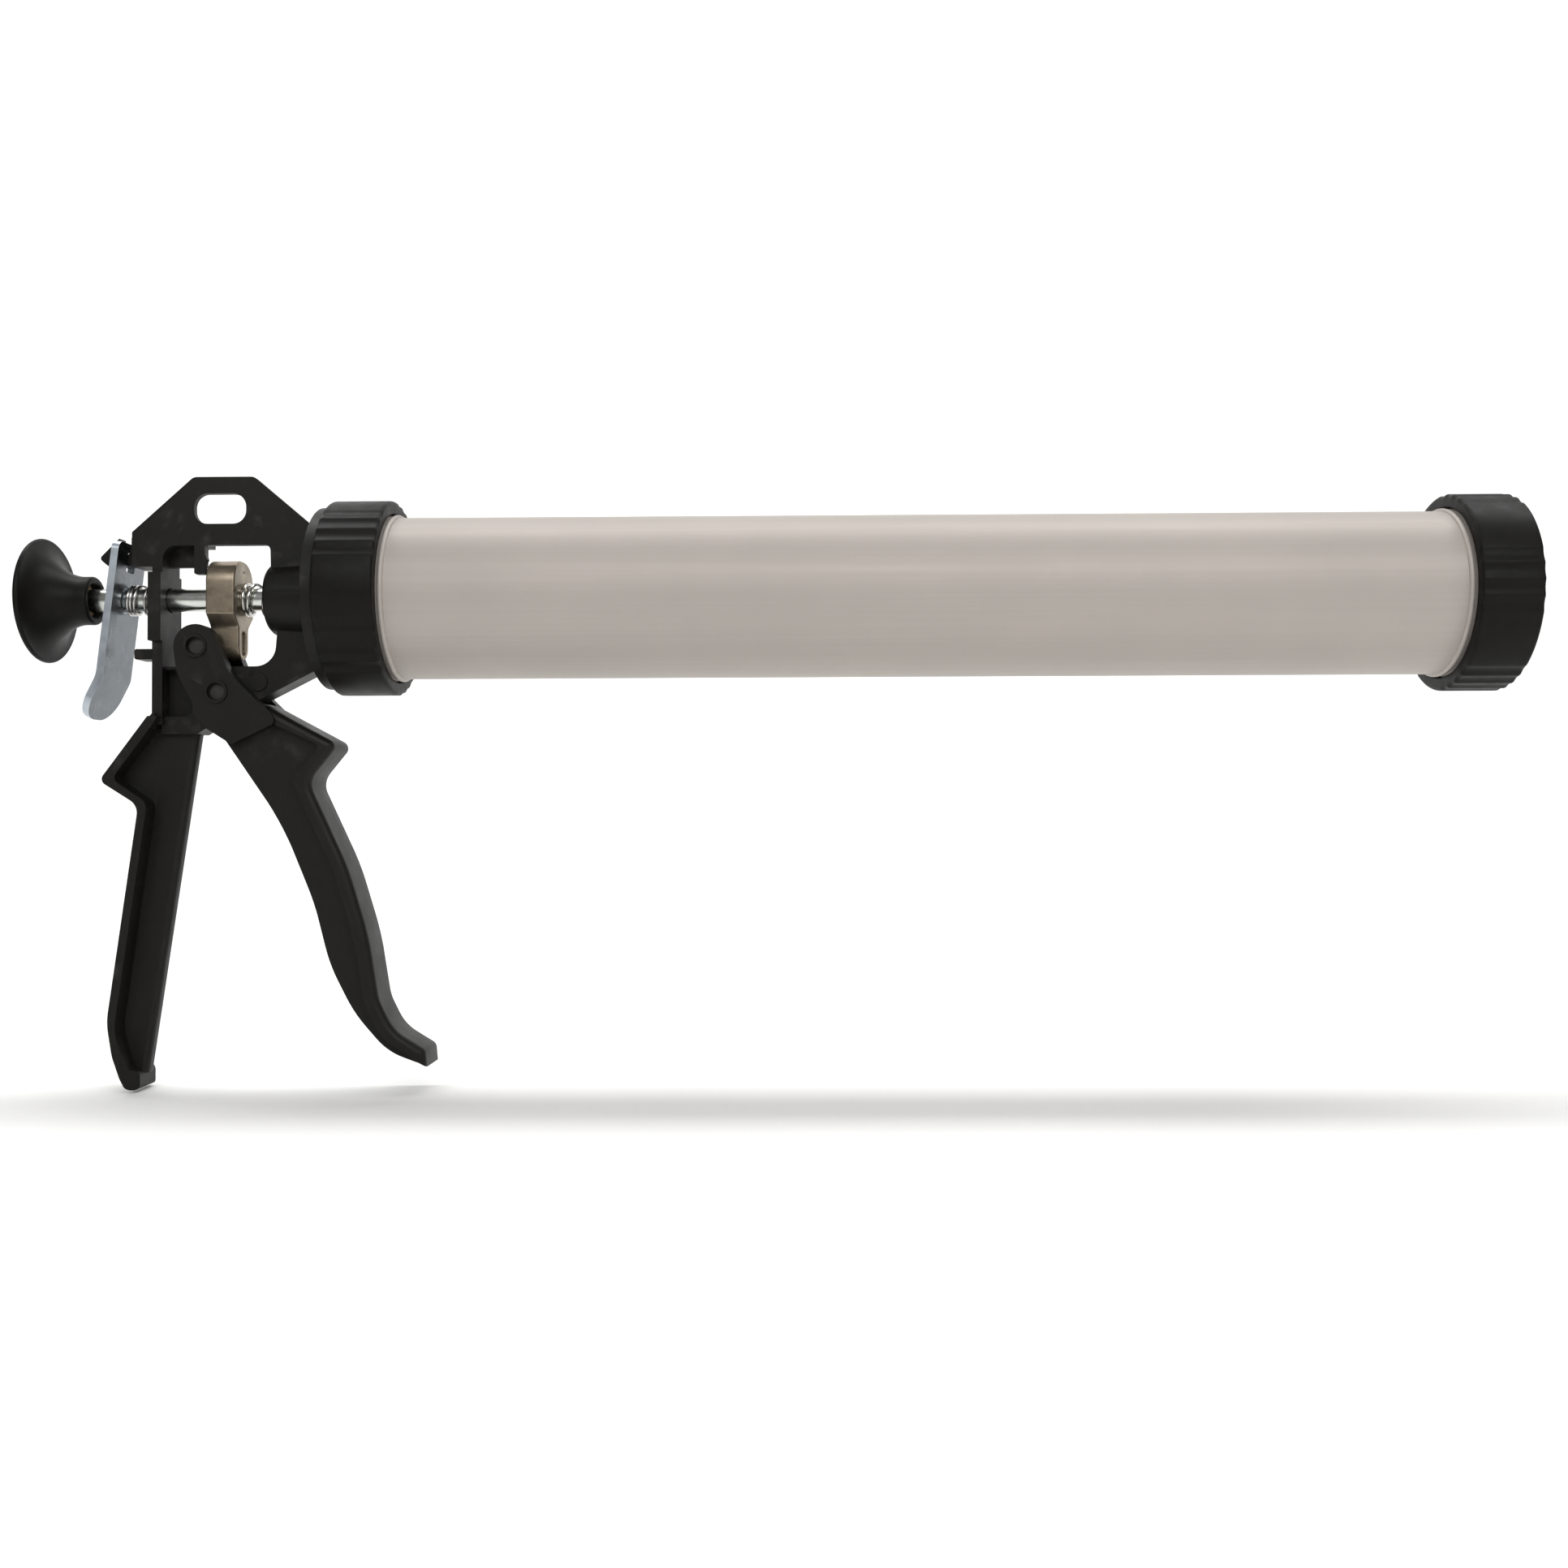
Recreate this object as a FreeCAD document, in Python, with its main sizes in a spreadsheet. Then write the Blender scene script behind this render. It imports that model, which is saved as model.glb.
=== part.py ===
import FreeCAD, Part
import math
import os

import Sketcher
from FreeCAD import Placement, Rotation, Vector

# Caulking gun for 600 ml foil packs: open pistol frame, aluminium barrel, two screwed collars, round
# thrust rod. Millimetres. The origin is the middle of the nozzle opening, in the front face of the
# front collar. +X points forward along the barrel, +Z is up and the gun's left side faces -Y.

DIMENSIONS = {
    # barrel and collars
    "tube_outer": 27.5, "tube_inner": 26.0, "tube_front": -4.0, "tube_back": -387.8,
    "bead_radius": 0.95, "bead_pitch": 3.0, "bead_count": 5, "front_bead": -21.3, "back_bead": -374.6,
    "collar_outer": 33.2, "collar_bore": 28.75, "collar_length": 20.2, "collar_lip": 3.0,
    "nozzle_radius": 20.0, "back_collar_front": -375.7, "collar_round": 1.1,
    "flute_radius": 4.0, "flute_depth": 0.9, "flute_step": 9.4,
    # rod, knob and piston
    "rod_radius": 4.0, "rod_back": -498.0, "rod_shoulder": -27.6, "rod_front": -12.4,
    "rod_end_radius": 3.0,
    "knob_face": -480.4, "knob_neck": 8.3, "knob_rim": 21.3, "knob_back": -504.2, "knob_recess": 6.0,
    "insert_radius": 5.6, "insert_front": -483.2, "insert_back": -498.0,
    "piston_radius": 25.6, "piston_back": -34.0, "piston_front": -12.0,
    "web_back": -26.0, "web_front": -20.0, "piston_hole": 3.06,
    "seal_groove": 22.6, "seal_mid": -18.0, "seal_wire": 1.65, "seal_radius": 24.3,
    "washer_radius": 12.0, "washer_thick": 1.5, "lock_radius": 5.4, "lock_thick": 1.2,
    "nut_flats": 10.0, "nut_height": 4.4,
    # frame casting
    "skin_near": 7.0, "skin_far": 4.6, "nose_half": 2.5, "panel_half": 1.0,
    "wall_half": 7.0, "wall_back": -458.0, "wall_front": -454.5,
    "pad_half": 8.5, "pad_back": -458.9, "boss_back": -419.0, "boss_radius": 12.1,
    "boss_root": 13.0, "disc_radius": 31.0, "disc_back": -399.6, "disc_front": -396.2,
    "spigot_radius": 28.35, "spigot_bore": 25.0, "spigot_front": -388.2,
    "lower_half": 5.0, "lug_half": 6.0, "lug_radius": 7.5, "handle_half": 3.0, "flange_half": 10.5,
    "web_round": 2.2, "strap_round": 2.5,
    "pocket_radius": 7.0, "pocket_floor": -405.0, "bush_radius": 6.0, "bush_front": -393.0,
    "slot_x": -434.85, "slot_z": 30.25, "slot_length": 17.7, "slot_height": 10.3,
    # trigger, its pins and the driver
    "pivot_x": -434.5, "pivot_z": -32.4, "thrust_x": -441.65, "thrust_z": -16.9,
    "pin_radius": 2.5, "pin_half": 9.8, "pin_fit": 0.05, "cheek_half": 11.0, "cheek_inner": 6.5,
    "cheek_round": 7.4, "ring_radius": 3.9, "ring_height": 0.7, "ring_bore": 3.0, "ring_depth": 1.9,
    "grip_half": 7.0, "grip_inner": 4.0, "grip_wall": 3.0, "front_half": 9.5, "front_wall": 4.6,
    "driver_back": -439.1, "driver_front": -429.3, "driver_half": 9.0, "driver_top": 13.2,
    "driver_shoulder": -5.6, "driver_tail": -20.7, "tail_half": 4.5,
    # release plate and the springs
    "plate_thick": 2.5, "plate_half": 10.5, "plate_lean": 6.8, "plate_bend": 20.0, "plate_x": -468.3,
    "plate_z": 13.5, "plate_top": 5.6, "plate_knee": 41.0, "tab_length": 15.5, "plate_hole": 4.5,
    "window_half": 3.0, "window_top": 2.8, "window_foot": -4.0,
    "driver_wire": 0.6, "driver_coil": 5.25, "driver_turns": 6.0,
    "release_wire": 0.5, "release_coil": 5.0, "release_turns": 4.0,
}

doc = FreeCAD.newDocument("caulking_gun")
sheet = doc.addObject("Spreadsheet::Sheet", "dims")
for row, (alias, number) in enumerate(DIMENSIONS.items(), start=1):
    sheet.set("A%d" % row, alias)
    sheet.set("B%d" % row, str(number))
    sheet.setAlias("B%d" % row, alias)
doc.recompute()

PARTS = []


def size(alias):
    """A driving dimension, read from the sheet."""
    return float(getattr(sheet, alias))


# ---------------------------------------------------------------- helpers for bodies and sketches

def new_body(label):
    body = doc.addObject("PartDesign::Body", label)
    body.Label = label
    PARTS.append(body)
    return body


def origin_plane(body, role):
    return next(item for item in body.Origin.OriginFeatures if item.Role == role)


def new_sketch(body, name, role="XZ_Plane"):
    sketch = body.newObject("Sketcher::SketchObject", name)
    sketch.AttachmentSupport = [(origin_plane(body, role), "")]
    sketch.MapMode = "FlatFace"
    return sketch


def bound_outline(sketch, corners):
    """Closed outline whose every corner is held by two expressions of the sheet."""
    values = [(sheet.evalExpression(x), sheet.evalExpression(y)) for x, y in corners]
    points = [Vector(float(x), float(y), 0) for x, y in values]
    count = len(points)
    for index in range(count):
        sketch.addGeometry(Part.LineSegment(points[index], points[(index + 1) % count]), False)
    for index in range(count):
        sketch.addConstraint(Sketcher.Constraint("Coincident", index, 2, (index + 1) % count, 1))
    for index, (x, y) in enumerate(corners):
        for kind, text, value in (("DistanceX", x, points[index].x), ("DistanceY", y, points[index].y)):
            held = sketch.addConstraint(Sketcher.Constraint(kind, -1, 1, index, 1, value))
            sketch.setExpression("Constraints[%d]" % held, with_sheet(text))
    return sketch


def with_sheet(text):
    """The same expression with each alias written as a cell of the sheet."""
    words = text.replace("(", " ( ").replace(")", " ) ").split()
    return " ".join("dims." + word if word in DIMENSIONS else word for word in words)


def round_outline(sketch, corners):
    """Closed outline through corners (x, z, radius), each radius a tangent arc."""
    count = len(corners)
    spots = []
    for index in range(count):
        corner = Vector(corners[index][0], corners[index][1], 0)
        radius = corners[index][2]
        before = Vector(corners[index - 1][0], corners[index - 1][1], 0) - corner
        after = Vector(corners[(index + 1) % count][0], corners[(index + 1) % count][1], 0) - corner
        before.normalize()
        after.normalize()
        if radius == 0:
            spots.append((corner, corner, None))
            continue
        half = before.getAngle(after) / 2
        reach = radius / math.tan(half)
        middle = before + after
        middle.normalize()
        top = corner + middle * (radius / math.sin(half) - radius)
        spots.append((corner + before * reach, corner + after * reach, top))
    for index, (start, end, top) in enumerate(spots):
        if top is not None:
            sketch.addGeometry(Part.Arc(start, top, end), False)
        following = spots[(index + 1) % count][0]
        if (following - end).Length > 1e-6:
            sketch.addGeometry(Part.LineSegment(end, following), False)
    return sketch


def circle(sketch, x, y, alias):
    """Circle at two expressions of the sheet, with its radius bound to a third."""
    where = Vector(float(sheet.evalExpression(x)), float(sheet.evalExpression(y)), 0)
    radius = float(sheet.evalExpression(alias))
    index = sketch.addGeometry(Part.Circle(where, Vector(0, 0, 1), radius), False)
    held = sketch.addConstraint(Sketcher.Constraint("Radius", index, radius))
    sketch.setExpression("Constraints[%d]" % held, with_sheet(alias))
    for kind, text, value in (("DistanceX", x, where.x), ("DistanceY", y, where.y)):
        held = sketch.addConstraint(Sketcher.Constraint(kind, -1, 1, index, 3, value))
        sketch.setExpression("Constraints[%d]" % held, with_sheet(text))
    return sketch


def revolve(body, name, corners):
    """Solid of revolution about the barrel's axis, from (x, radius) expressions."""
    sketch = bound_outline(new_sketch(body, name + "_profile"), corners)
    feature = body.newObject("PartDesign::Revolution", name)
    feature.Profile = sketch
    feature.ReferenceAxis = (sketch, ["H_Axis"])
    feature.Angle = 360
    doc.recompute()
    return feature


def groove(body, name, corners):
    sketch = bound_outline(new_sketch(body, name + "_profile"), corners)
    before = body.Shape.Volume
    feature = body.newObject("PartDesign::Groove", name)
    feature.Profile = sketch
    feature.ReferenceAxis = (sketch, ["H_Axis"])
    feature.Angle = 360
    doc.recompute()
    must_cut(body, before, name)
    return feature


def slab(body, name, half, outline):
    """Material on both sides of the middle plane, to a half thickness in the sheet."""
    sketch = new_sketch(body, name + "_outline")
    outline(sketch)
    feature = body.newObject("PartDesign::Pad", name)
    feature.Profile = sketch
    feature.Midplane = True
    feature.setExpression("Length", "2 * (%s)" % with_sheet(half))
    doc.recompute()
    return feature


def side_slab(body, name, near, far, outline):
    """Material from one distance left of the middle plane to another, negative on the right."""
    sketch = new_sketch(body, name + "_outline")
    sketch.setExpression("AttachmentOffset.Base.z", with_sheet(far))
    outline(sketch)
    feature = body.newObject("PartDesign::Pad", name)
    feature.Profile = sketch
    feature.setExpression("Length", "(%s) - (%s)" % (with_sheet(near), with_sheet(far)))
    doc.recompute()
    return feature


def slot_through(body, name, half, outline):
    """Opening cut on both sides of the middle plane, to a half width in the sheet."""
    before = body.Shape.Volume
    sketch = new_sketch(body, name + "_outline")
    outline(sketch)
    feature = body.newObject("PartDesign::Pocket", name)
    feature.Profile = sketch
    feature.Midplane = True
    feature.setExpression("Length", "2 * (%s)" % with_sheet(half))
    doc.recompute()
    must_cut(body, before, name)
    return feature


def side_recess(body, name, side, face, depth, outline):
    """Recess of some depth in the face that lies at a distance from the middle plane."""
    before = body.Shape.Volume
    for direction in (1, -1):
        sketch = new_sketch(body, "%s_%s" % (name, "left" if direction > 0 else "right"), side)
        sketch.setExpression("AttachmentOffset.Base.z", "%d * (%s)" % (direction, with_sheet(face)))
        outline(sketch)
        feature = body.newObject("PartDesign::Pocket", sketch.Name + "_cut")
        feature.Profile = sketch
        feature.Reversed = direction < 0
        feature.setExpression("Length", with_sheet(depth))
        doc.recompute()
    must_cut(body, before, name)


def must_cut(body, before, name):
    if body.Shape.Volume >= before - 1e-3:
        raise RuntimeError("nothing was cut by " + name)


def edges_where(feature, test):
    """Names of the edges whose centre of mass passes a test."""
    return ["Edge%d" % (index + 1) for index, edge in enumerate(feature.Shape.Edges) if test(edge)]


def dress(body, kind, name, base, test, amount):
    """Fillet or chamfer on chosen edges, left out where no edge passes the test."""
    names = edges_where(base, test)
    if not names:
        raise RuntimeError("no edge for " + name)
    feature = body.newObject("PartDesign::" + kind, name)
    feature.Base = (base, names)
    if kind == "Fillet":
        feature.Radius = amount
    else:
        feature.Size = amount
    doc.recompute()
    if "Invalid" in feature.State or not feature.Shape.isValid():
        raise RuntimeError("edge feature failed: " + name)
    return feature


def ring_edge(x, radius):
    """Test for a full circle round the barrel's axis at one station."""
    def test(edge):
        box = edge.BoundBox
        flat = abs(box.XMin - x) < 0.02 and abs(box.XMax - x) < 0.02
        return flat and abs(box.ZMax - radius) < 0.05 and abs(box.ZMin + radius) < 0.05
    return test


# ---------------------------------------------------------------- barrel and collars

def make_tube():
    body = new_body("barrel_tube")
    revolve(body, "tube_wall", [("tube_back", "tube_inner"), ("tube_front", "tube_inner"),
                                ("tube_front", "tube_outer"), ("tube_back", "tube_outer")])
    for end, start, way in (("front", "front_bead", 1), ("back", "back_bead", -1)):
        sketch = new_sketch(body, end + "_bead_profile")
        middle = Vector(size(start), size("tube_outer"), 0)
        reach = Vector(size("bead_radius"), 0, 0)
        crown = middle + Vector(0, size("bead_radius"), 0)
        sketch.addGeometry(Part.Arc(middle - reach, crown, middle + reach), False)
        low_left = middle - reach - Vector(0, 0.5, 0)
        low_right = middle + reach - Vector(0, 0.5, 0)
        sketch.addGeometry(Part.LineSegment(middle + reach, low_right), False)
        sketch.addGeometry(Part.LineSegment(low_right, low_left), False)
        sketch.addGeometry(Part.LineSegment(low_left, middle - reach), False)
        bead = body.newObject("PartDesign::Revolution", end + "_bead")
        bead.Profile = sketch
        bead.ReferenceAxis = (sketch, ["H_Axis"])
        bead.Angle = 360
        doc.recompute()
        rows = body.newObject("PartDesign::LinearPattern", end + "_beads")
        rows.Originals = [bead]
        rows.Direction = (origin_plane(body, "X_Axis"), [""])
        rows.Reversed = way < 0
        rows.setExpression("Length", "(dims.bead_count - 1) * dims.bead_pitch")
        rows.setExpression("Occurrences", "dims.bead_count")
        body.Tip = rows
        doc.recompute()
    return body


def flute_groups(body, base, turn):
    """Five groups of four shallow flutes round a collar."""
    before = body.Shape.Volume
    sketch = new_sketch(body, "flute_outline", "YZ_Plane")
    sketch.AttachmentOffset = Placement(Vector(0, 0, -420), Rotation())
    distance = size("collar_outer") + size("flute_radius") - size("flute_depth")
    for number in range(4):
        angle = math.radians(turn + (number - 1.5) * size("flute_step"))
        spot = Vector(-distance * math.cos(angle), distance * math.sin(angle), 0)
        sketch.addGeometry(Part.Circle(spot, Vector(0, 0, 1), size("flute_radius")), False)
    cut = body.newObject("PartDesign::Pocket", "flutes")
    cut.Profile = sketch
    cut.Reversed = True
    cut.Length = 440
    doc.recompute()
    must_cut(body, before, "flutes")
    groups = body.newObject("PartDesign::PolarPattern", "flute_groups")
    groups.Originals = [cut]
    groups.Axis = (origin_plane(body, "X_Axis"), [""])
    groups.Angle = 360
    groups.Occurrences = 5
    body.Tip = groups
    doc.recompute()
    return groups


def make_front_collar():
    body = new_body("front_collar")
    ring = revolve(body, "ring", [
        ("-1 * collar_length", "collar_bore"), ("-1 * collar_lip", "collar_bore"),
        ("-1 * collar_lip", "nozzle_radius"), ("0", "nozzle_radius"),
        ("0", "collar_outer"), ("-1 * collar_length", "collar_outer")])
    front = dress(body, "Fillet", "front_round", ring,
                  ring_edge(0, size("collar_outer")), size("collar_round"))
    back = dress(body, "Fillet", "back_round", front,
                 ring_edge(-size("collar_length"), size("collar_outer")), size("collar_round"))
    flute_groups(body, back, 0)
    return body


def make_rear_collar():
    body = new_body("rear_collar")
    ring = revolve(body, "ring", [
        ("back_collar_front - collar_length", "collar_bore"), ("back_collar_front", "collar_bore"),
        ("back_collar_front", "collar_outer"), ("back_collar_front - collar_length", "collar_outer")])
    front = dress(body, "Fillet", "front_round", ring,
                  ring_edge(size("back_collar_front"), size("collar_outer")), size("collar_round"))
    back_x = size("back_collar_front") - size("collar_length")
    back = dress(body, "Fillet", "back_round", front,
                 ring_edge(back_x, size("collar_outer")), size("collar_round"))
    flute_groups(body, back, 36)
    return body


# ---------------------------------------------------------------- rod, knob and piston

def make_rod():
    body = new_body("thrust_rod")
    rod = revolve(body, "rod", [
        ("rod_back", "0"), ("rod_front", "0"), ("rod_front", "rod_end_radius"),
        ("rod_shoulder", "rod_end_radius"), ("rod_shoulder", "rod_radius"), ("rod_back", "rod_radius")])
    dress(body, "Chamfer", "tip_chamfer", rod, ring_edge(size("rod_front"), size("rod_end_radius")), 0.7)
    return body


def make_knob():
    """Round pull knob: a straight neck that flares like a trumpet to a rounded rim."""
    body = new_body("pull_knob")
    sketch = new_sketch(body, "knob_profile")
    face = size("knob_face")
    neck = size("knob_neck")
    rim = size("knob_rim")
    back = size("knob_back")
    recess = size("knob_recess")
    seat = size("insert_front")
    hole = size("insert_radius") + 0.02
    floor = size("insert_back") - 0.5
    lines = [Vector(floor, 0, 0), Vector(floor, hole, 0), Vector(seat, hole, 0), Vector(seat, recess, 0),
             Vector(face, recess, 0), Vector(face, neck - 0.8, 0)]
    for start, end in zip(lines, lines[1:]):
        sketch.addGeometry(Part.LineSegment(start, end), False)
    shoulder = Vector(face - 0.8, neck, 0)
    sketch.addGeometry(Part.Arc(lines[-1], Vector(face - 0.23, neck - 0.23, 0), shoulder), False)
    flare = Vector(face - 4.2, neck + 0.1, 0)
    edge = Vector(face - 16.2, rim - 0.6, 0)
    sketch.addGeometry(Part.LineSegment(shoulder, flare), False)
    sketch.addGeometry(Part.Arc(flare, Vector(face - 12.2, neck + 3.9, 0), edge), False)
    rim_back = Vector(face - 18.0, rim - 0.8, 0)
    sketch.addGeometry(Part.Arc(edge, Vector(face - 17.1, rim, 0), rim_back), False)
    pole = Vector(back, 0, 0)
    rise = rim_back.x - back
    dome = (rise ** 2 + rim_back.y ** 2) / (2 * rise)
    half_turn = math.asin(rim_back.y / dome) / 2
    crown = Vector(back + dome - dome * math.cos(half_turn), dome * math.sin(half_turn), 0)
    sketch.addGeometry(Part.Arc(rim_back, crown, pole), False)
    sketch.addGeometry(Part.LineSegment(pole, lines[0]), False)
    knob = body.newObject("PartDesign::Revolution", "knob")
    knob.Profile = sketch
    knob.ReferenceAxis = (sketch, ["H_Axis"])
    knob.Angle = 360
    doc.recompute()
    return body


def make_ring(label, back, front, inner, outer):
    """Plain turned or stamped ring on the barrel's axis."""
    body = new_body(label)
    ring = revolve(body, "ring", [(back, inner), (front, inner), (front, outer), (back, outer)])
    return body, ring


def make_insert():
    body, ring = make_ring("knob_insert", "insert_back", "insert_front", "rod_radius + 0.02",
                           "insert_radius")
    groove(body, "retaining_groove", [
        ("insert_back + 6", "insert_radius - 0.6"), ("insert_back + 8", "insert_radius - 0.6"),
        ("insert_back + 8", "insert_radius + 1"), ("insert_back + 6", "insert_radius + 1")])
    return body


def make_piston():
    body = new_body("piston_body")
    revolve(body, "cup", [
        ("piston_back", "piston_radius - 2.4"), ("web_back", "piston_radius - 2.8"),
        ("web_back", "piston_hole"), ("web_front", "piston_hole"), ("web_front", "washer_radius + 3"),
        ("piston_front", "washer_radius + 4"), ("piston_front", "piston_radius - 1.2"),
        ("piston_front - 1.2", "piston_radius"), ("piston_back", "piston_radius")])
    groove(body, "seal_groove_cut", [
        ("seal_mid - seal_wire - 0.15", "seal_groove"), ("seal_mid + seal_wire + 0.15", "seal_groove"),
        ("seal_mid + seal_wire + 0.15", "piston_radius + 1"),
        ("seal_mid - seal_wire - 0.15", "piston_radius + 1")])
    return body


def make_seal():
    ring = doc.addObject("Part::Torus", "piston_seal")
    ring.Label = "piston_seal"
    ring.setExpression("Radius1", "dims.seal_radius")
    ring.setExpression("Radius2", "dims.seal_wire")
    ring.Placement = Placement(Vector(size("seal_mid"), 0, 0), Rotation(Vector(0, 1, 0), 90))
    PARTS.append(ring)
    return ring


def make_lock_washer(back, front):
    body, ring = make_ring("lock_washer", back, front, "rod_end_radius + 0.15", "lock_radius")
    slot_through(body, "split", "0.6", lambda sketch: round_outline(sketch, [
        (size("web_front") - 1, 0.5, 0), (size("web_front") + 4, 0.5, 0),
        (size("web_front") + 4, 9, 0), (size("web_front") - 1, 9, 0)]))
    return body


def make_nut(back):
    body = new_body("piston_nut")
    sketch = new_sketch(body, "hexagon", "YZ_Plane")
    sketch.setExpression("AttachmentOffset.Base.z", with_sheet(back))
    corner = size("nut_flats") / math.sqrt(3)
    points = [Vector(corner * math.cos(math.radians(60 * turn)),
                     corner * math.sin(math.radians(60 * turn)), 0) for turn in range(7)]
    for start, end in zip(points, points[1:]):
        sketch.addGeometry(Part.LineSegment(start, end), False)
    circle(sketch, "0", "0", "rod_end_radius + 0.05")
    nut = body.newObject("PartDesign::Pad", "nut")
    nut.Profile = sketch
    nut.setExpression("Length", "dims.nut_height")
    doc.recompute()
    groove(body, "front_bevel", [
        (back + " + nut_height - 0.9", "nut_flats / 2 + 1"), (back + " + nut_height", "nut_flats / 2 - 0.4"),
        (back + " + nut_height + 1", "nut_flats / 2 - 0.4"), (back + " + nut_height + 1", "nut_flats")])
    return body


# ---------------------------------------------------------------- frame casting

def skin_outline(sketch):
    """Thin roof plate: rear slope, flat top with the hanging slot, front slope down to the disc."""
    left = -465.0
    window_top = 17.8
    top = 41.1
    tab_left = -443.7
    tab_right = -440.1
    round_outline(sketch, [
        (left, 10.6, 0.6), (size("wall_front"), 10.6, 0), (size("wall_front"), window_top, 4.7),
        (tab_left, window_top, 0), (tab_left, 7.9, 0.8), (tab_right, 7.9, 0.8),
        (tab_right, 11.6, 0.5), (-439.4, 13.0, 0.3), (tab_right, 15.2, 2.0), (tab_right, window_top, 0),
        (-417.7, window_top, 2.0), (-417.4, 5.0, 0), (size("disc_front") - 1, 5.0, 0),
        (size("disc_front") - 1, 19.2, 0), (size("disc_back"), 21.0, 0),
        (-423.3, top, 3.0), (-444.0, top, 3.0), (left, 22.4, 0)])


def block_outline(sketch):
    """Thick corner behind the roof plate, from the nose over the wall to the driver's stop."""
    round_outline(sketch, [
        (-465.0, 10.6, 0.6), (size("wall_front"), 10.6, 0), (size("wall_front"), 17.8, 4.7),
        (-440.1, 17.8, 0), (-440.1, 21.0, 0), (-453.0, 21.0, 3.0), (-458.5, 27.5, 0),
        (-460.5, 26.0, 0), (-465.0, 22.0, 0)])


def nose_outline(sketch):
    """Hook behind the corner block that carries the release plate's window."""
    round_outline(sketch, [(-478.3, 14.2, 1.2), (-475.2, 11.6, 1.2), (-460.0, 11.6, 0),
                           (-460.0, 26.0, 0), (-464.6, 22.0, 0), (-467.6, 21.2, 0), (-471.3, 21.2, 0)])


def spine_outline(sketch):
    """Rib along the rear slope and the top of the roof plate."""
    round_outline(sketch, [
        (-464.4, 22.0, 0), (-462.0, 21.9, 0), (-443.2, 38.6, 2.0), (-424.6, 38.6, 0),
        (-424.6, 40.9, 0), (-444.2, 40.9, 3.0)])


def slot_outline(sketch):
    middle_x = size("slot_x")
    middle_z = size("slot_z")
    half_length = size("slot_length") / 2
    half_height = size("slot_height") / 2
    round_outline(sketch, [
        (middle_x - half_length, middle_z - half_height, 4.5),
        (middle_x + half_length, middle_z - half_height, 4.5),
        (middle_x + half_length, middle_z + half_height, 4.5),
        (middle_x - half_length, middle_z + half_height, 4.5)])


def lower_outline(sketch):
    """Yoke below the driver: the trigger's pivot, the neck up to the disc and the handle's top."""
    round_outline(sketch, [
        (size("wall_front") - 1, -23.3, 0), (-417.0, -23.3, 7.0), (-415.8, -9.0, 0),
        (size("disc_front") - 1, -9.0, 0), (size("disc_front") - 1, -22.0, 0),
        (-405.4, -26.2, 0), (-437.0, -42.4, 0), (-443.2, -46.3, 1.0), (size("wall_front") - 1, -46.3, 0)])


def flange_outline(sketch):
    """Back strap of the pistol handle, with the spur over the hand and the curled foot."""
    round_outline(sketch, [
        (size("wall_back"), -40.4, 0), (-474.3, -62.2, 2.2), (-461.0, -70.6, 5.0),
        (-471.4, -143.5, 22.0), (-469.6, -154.8, 16.0), (-465.6, -166.3, 2.6), (-461.9, -167.2, 1.5),
        (-461.9, -160.9, 1.8), (-465.2, -159.4, 3.0), (-468.9, -146.0, 16.0),
        (-458.0, -69.8, 4.0), (-469.9, -61.6, 2.0), (-455.9, -42.8, 0), (-454.6, -40.4, 0)])


def handle_outline(sketch):
    round_outline(sketch, [
        (-443.4, -45.3, 0), (-460.8, -161.8, 0), (-466.4, -160.4, 4.0), (-469.9, -146.0, 16.0),
        (-459.2, -70.2, 5.0), (-471.2, -61.8, 2.0), (-457.2, -42.6, 0), (-454.0, -40.0, 0),
        (-442.6, -40.0, 0)])


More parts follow.
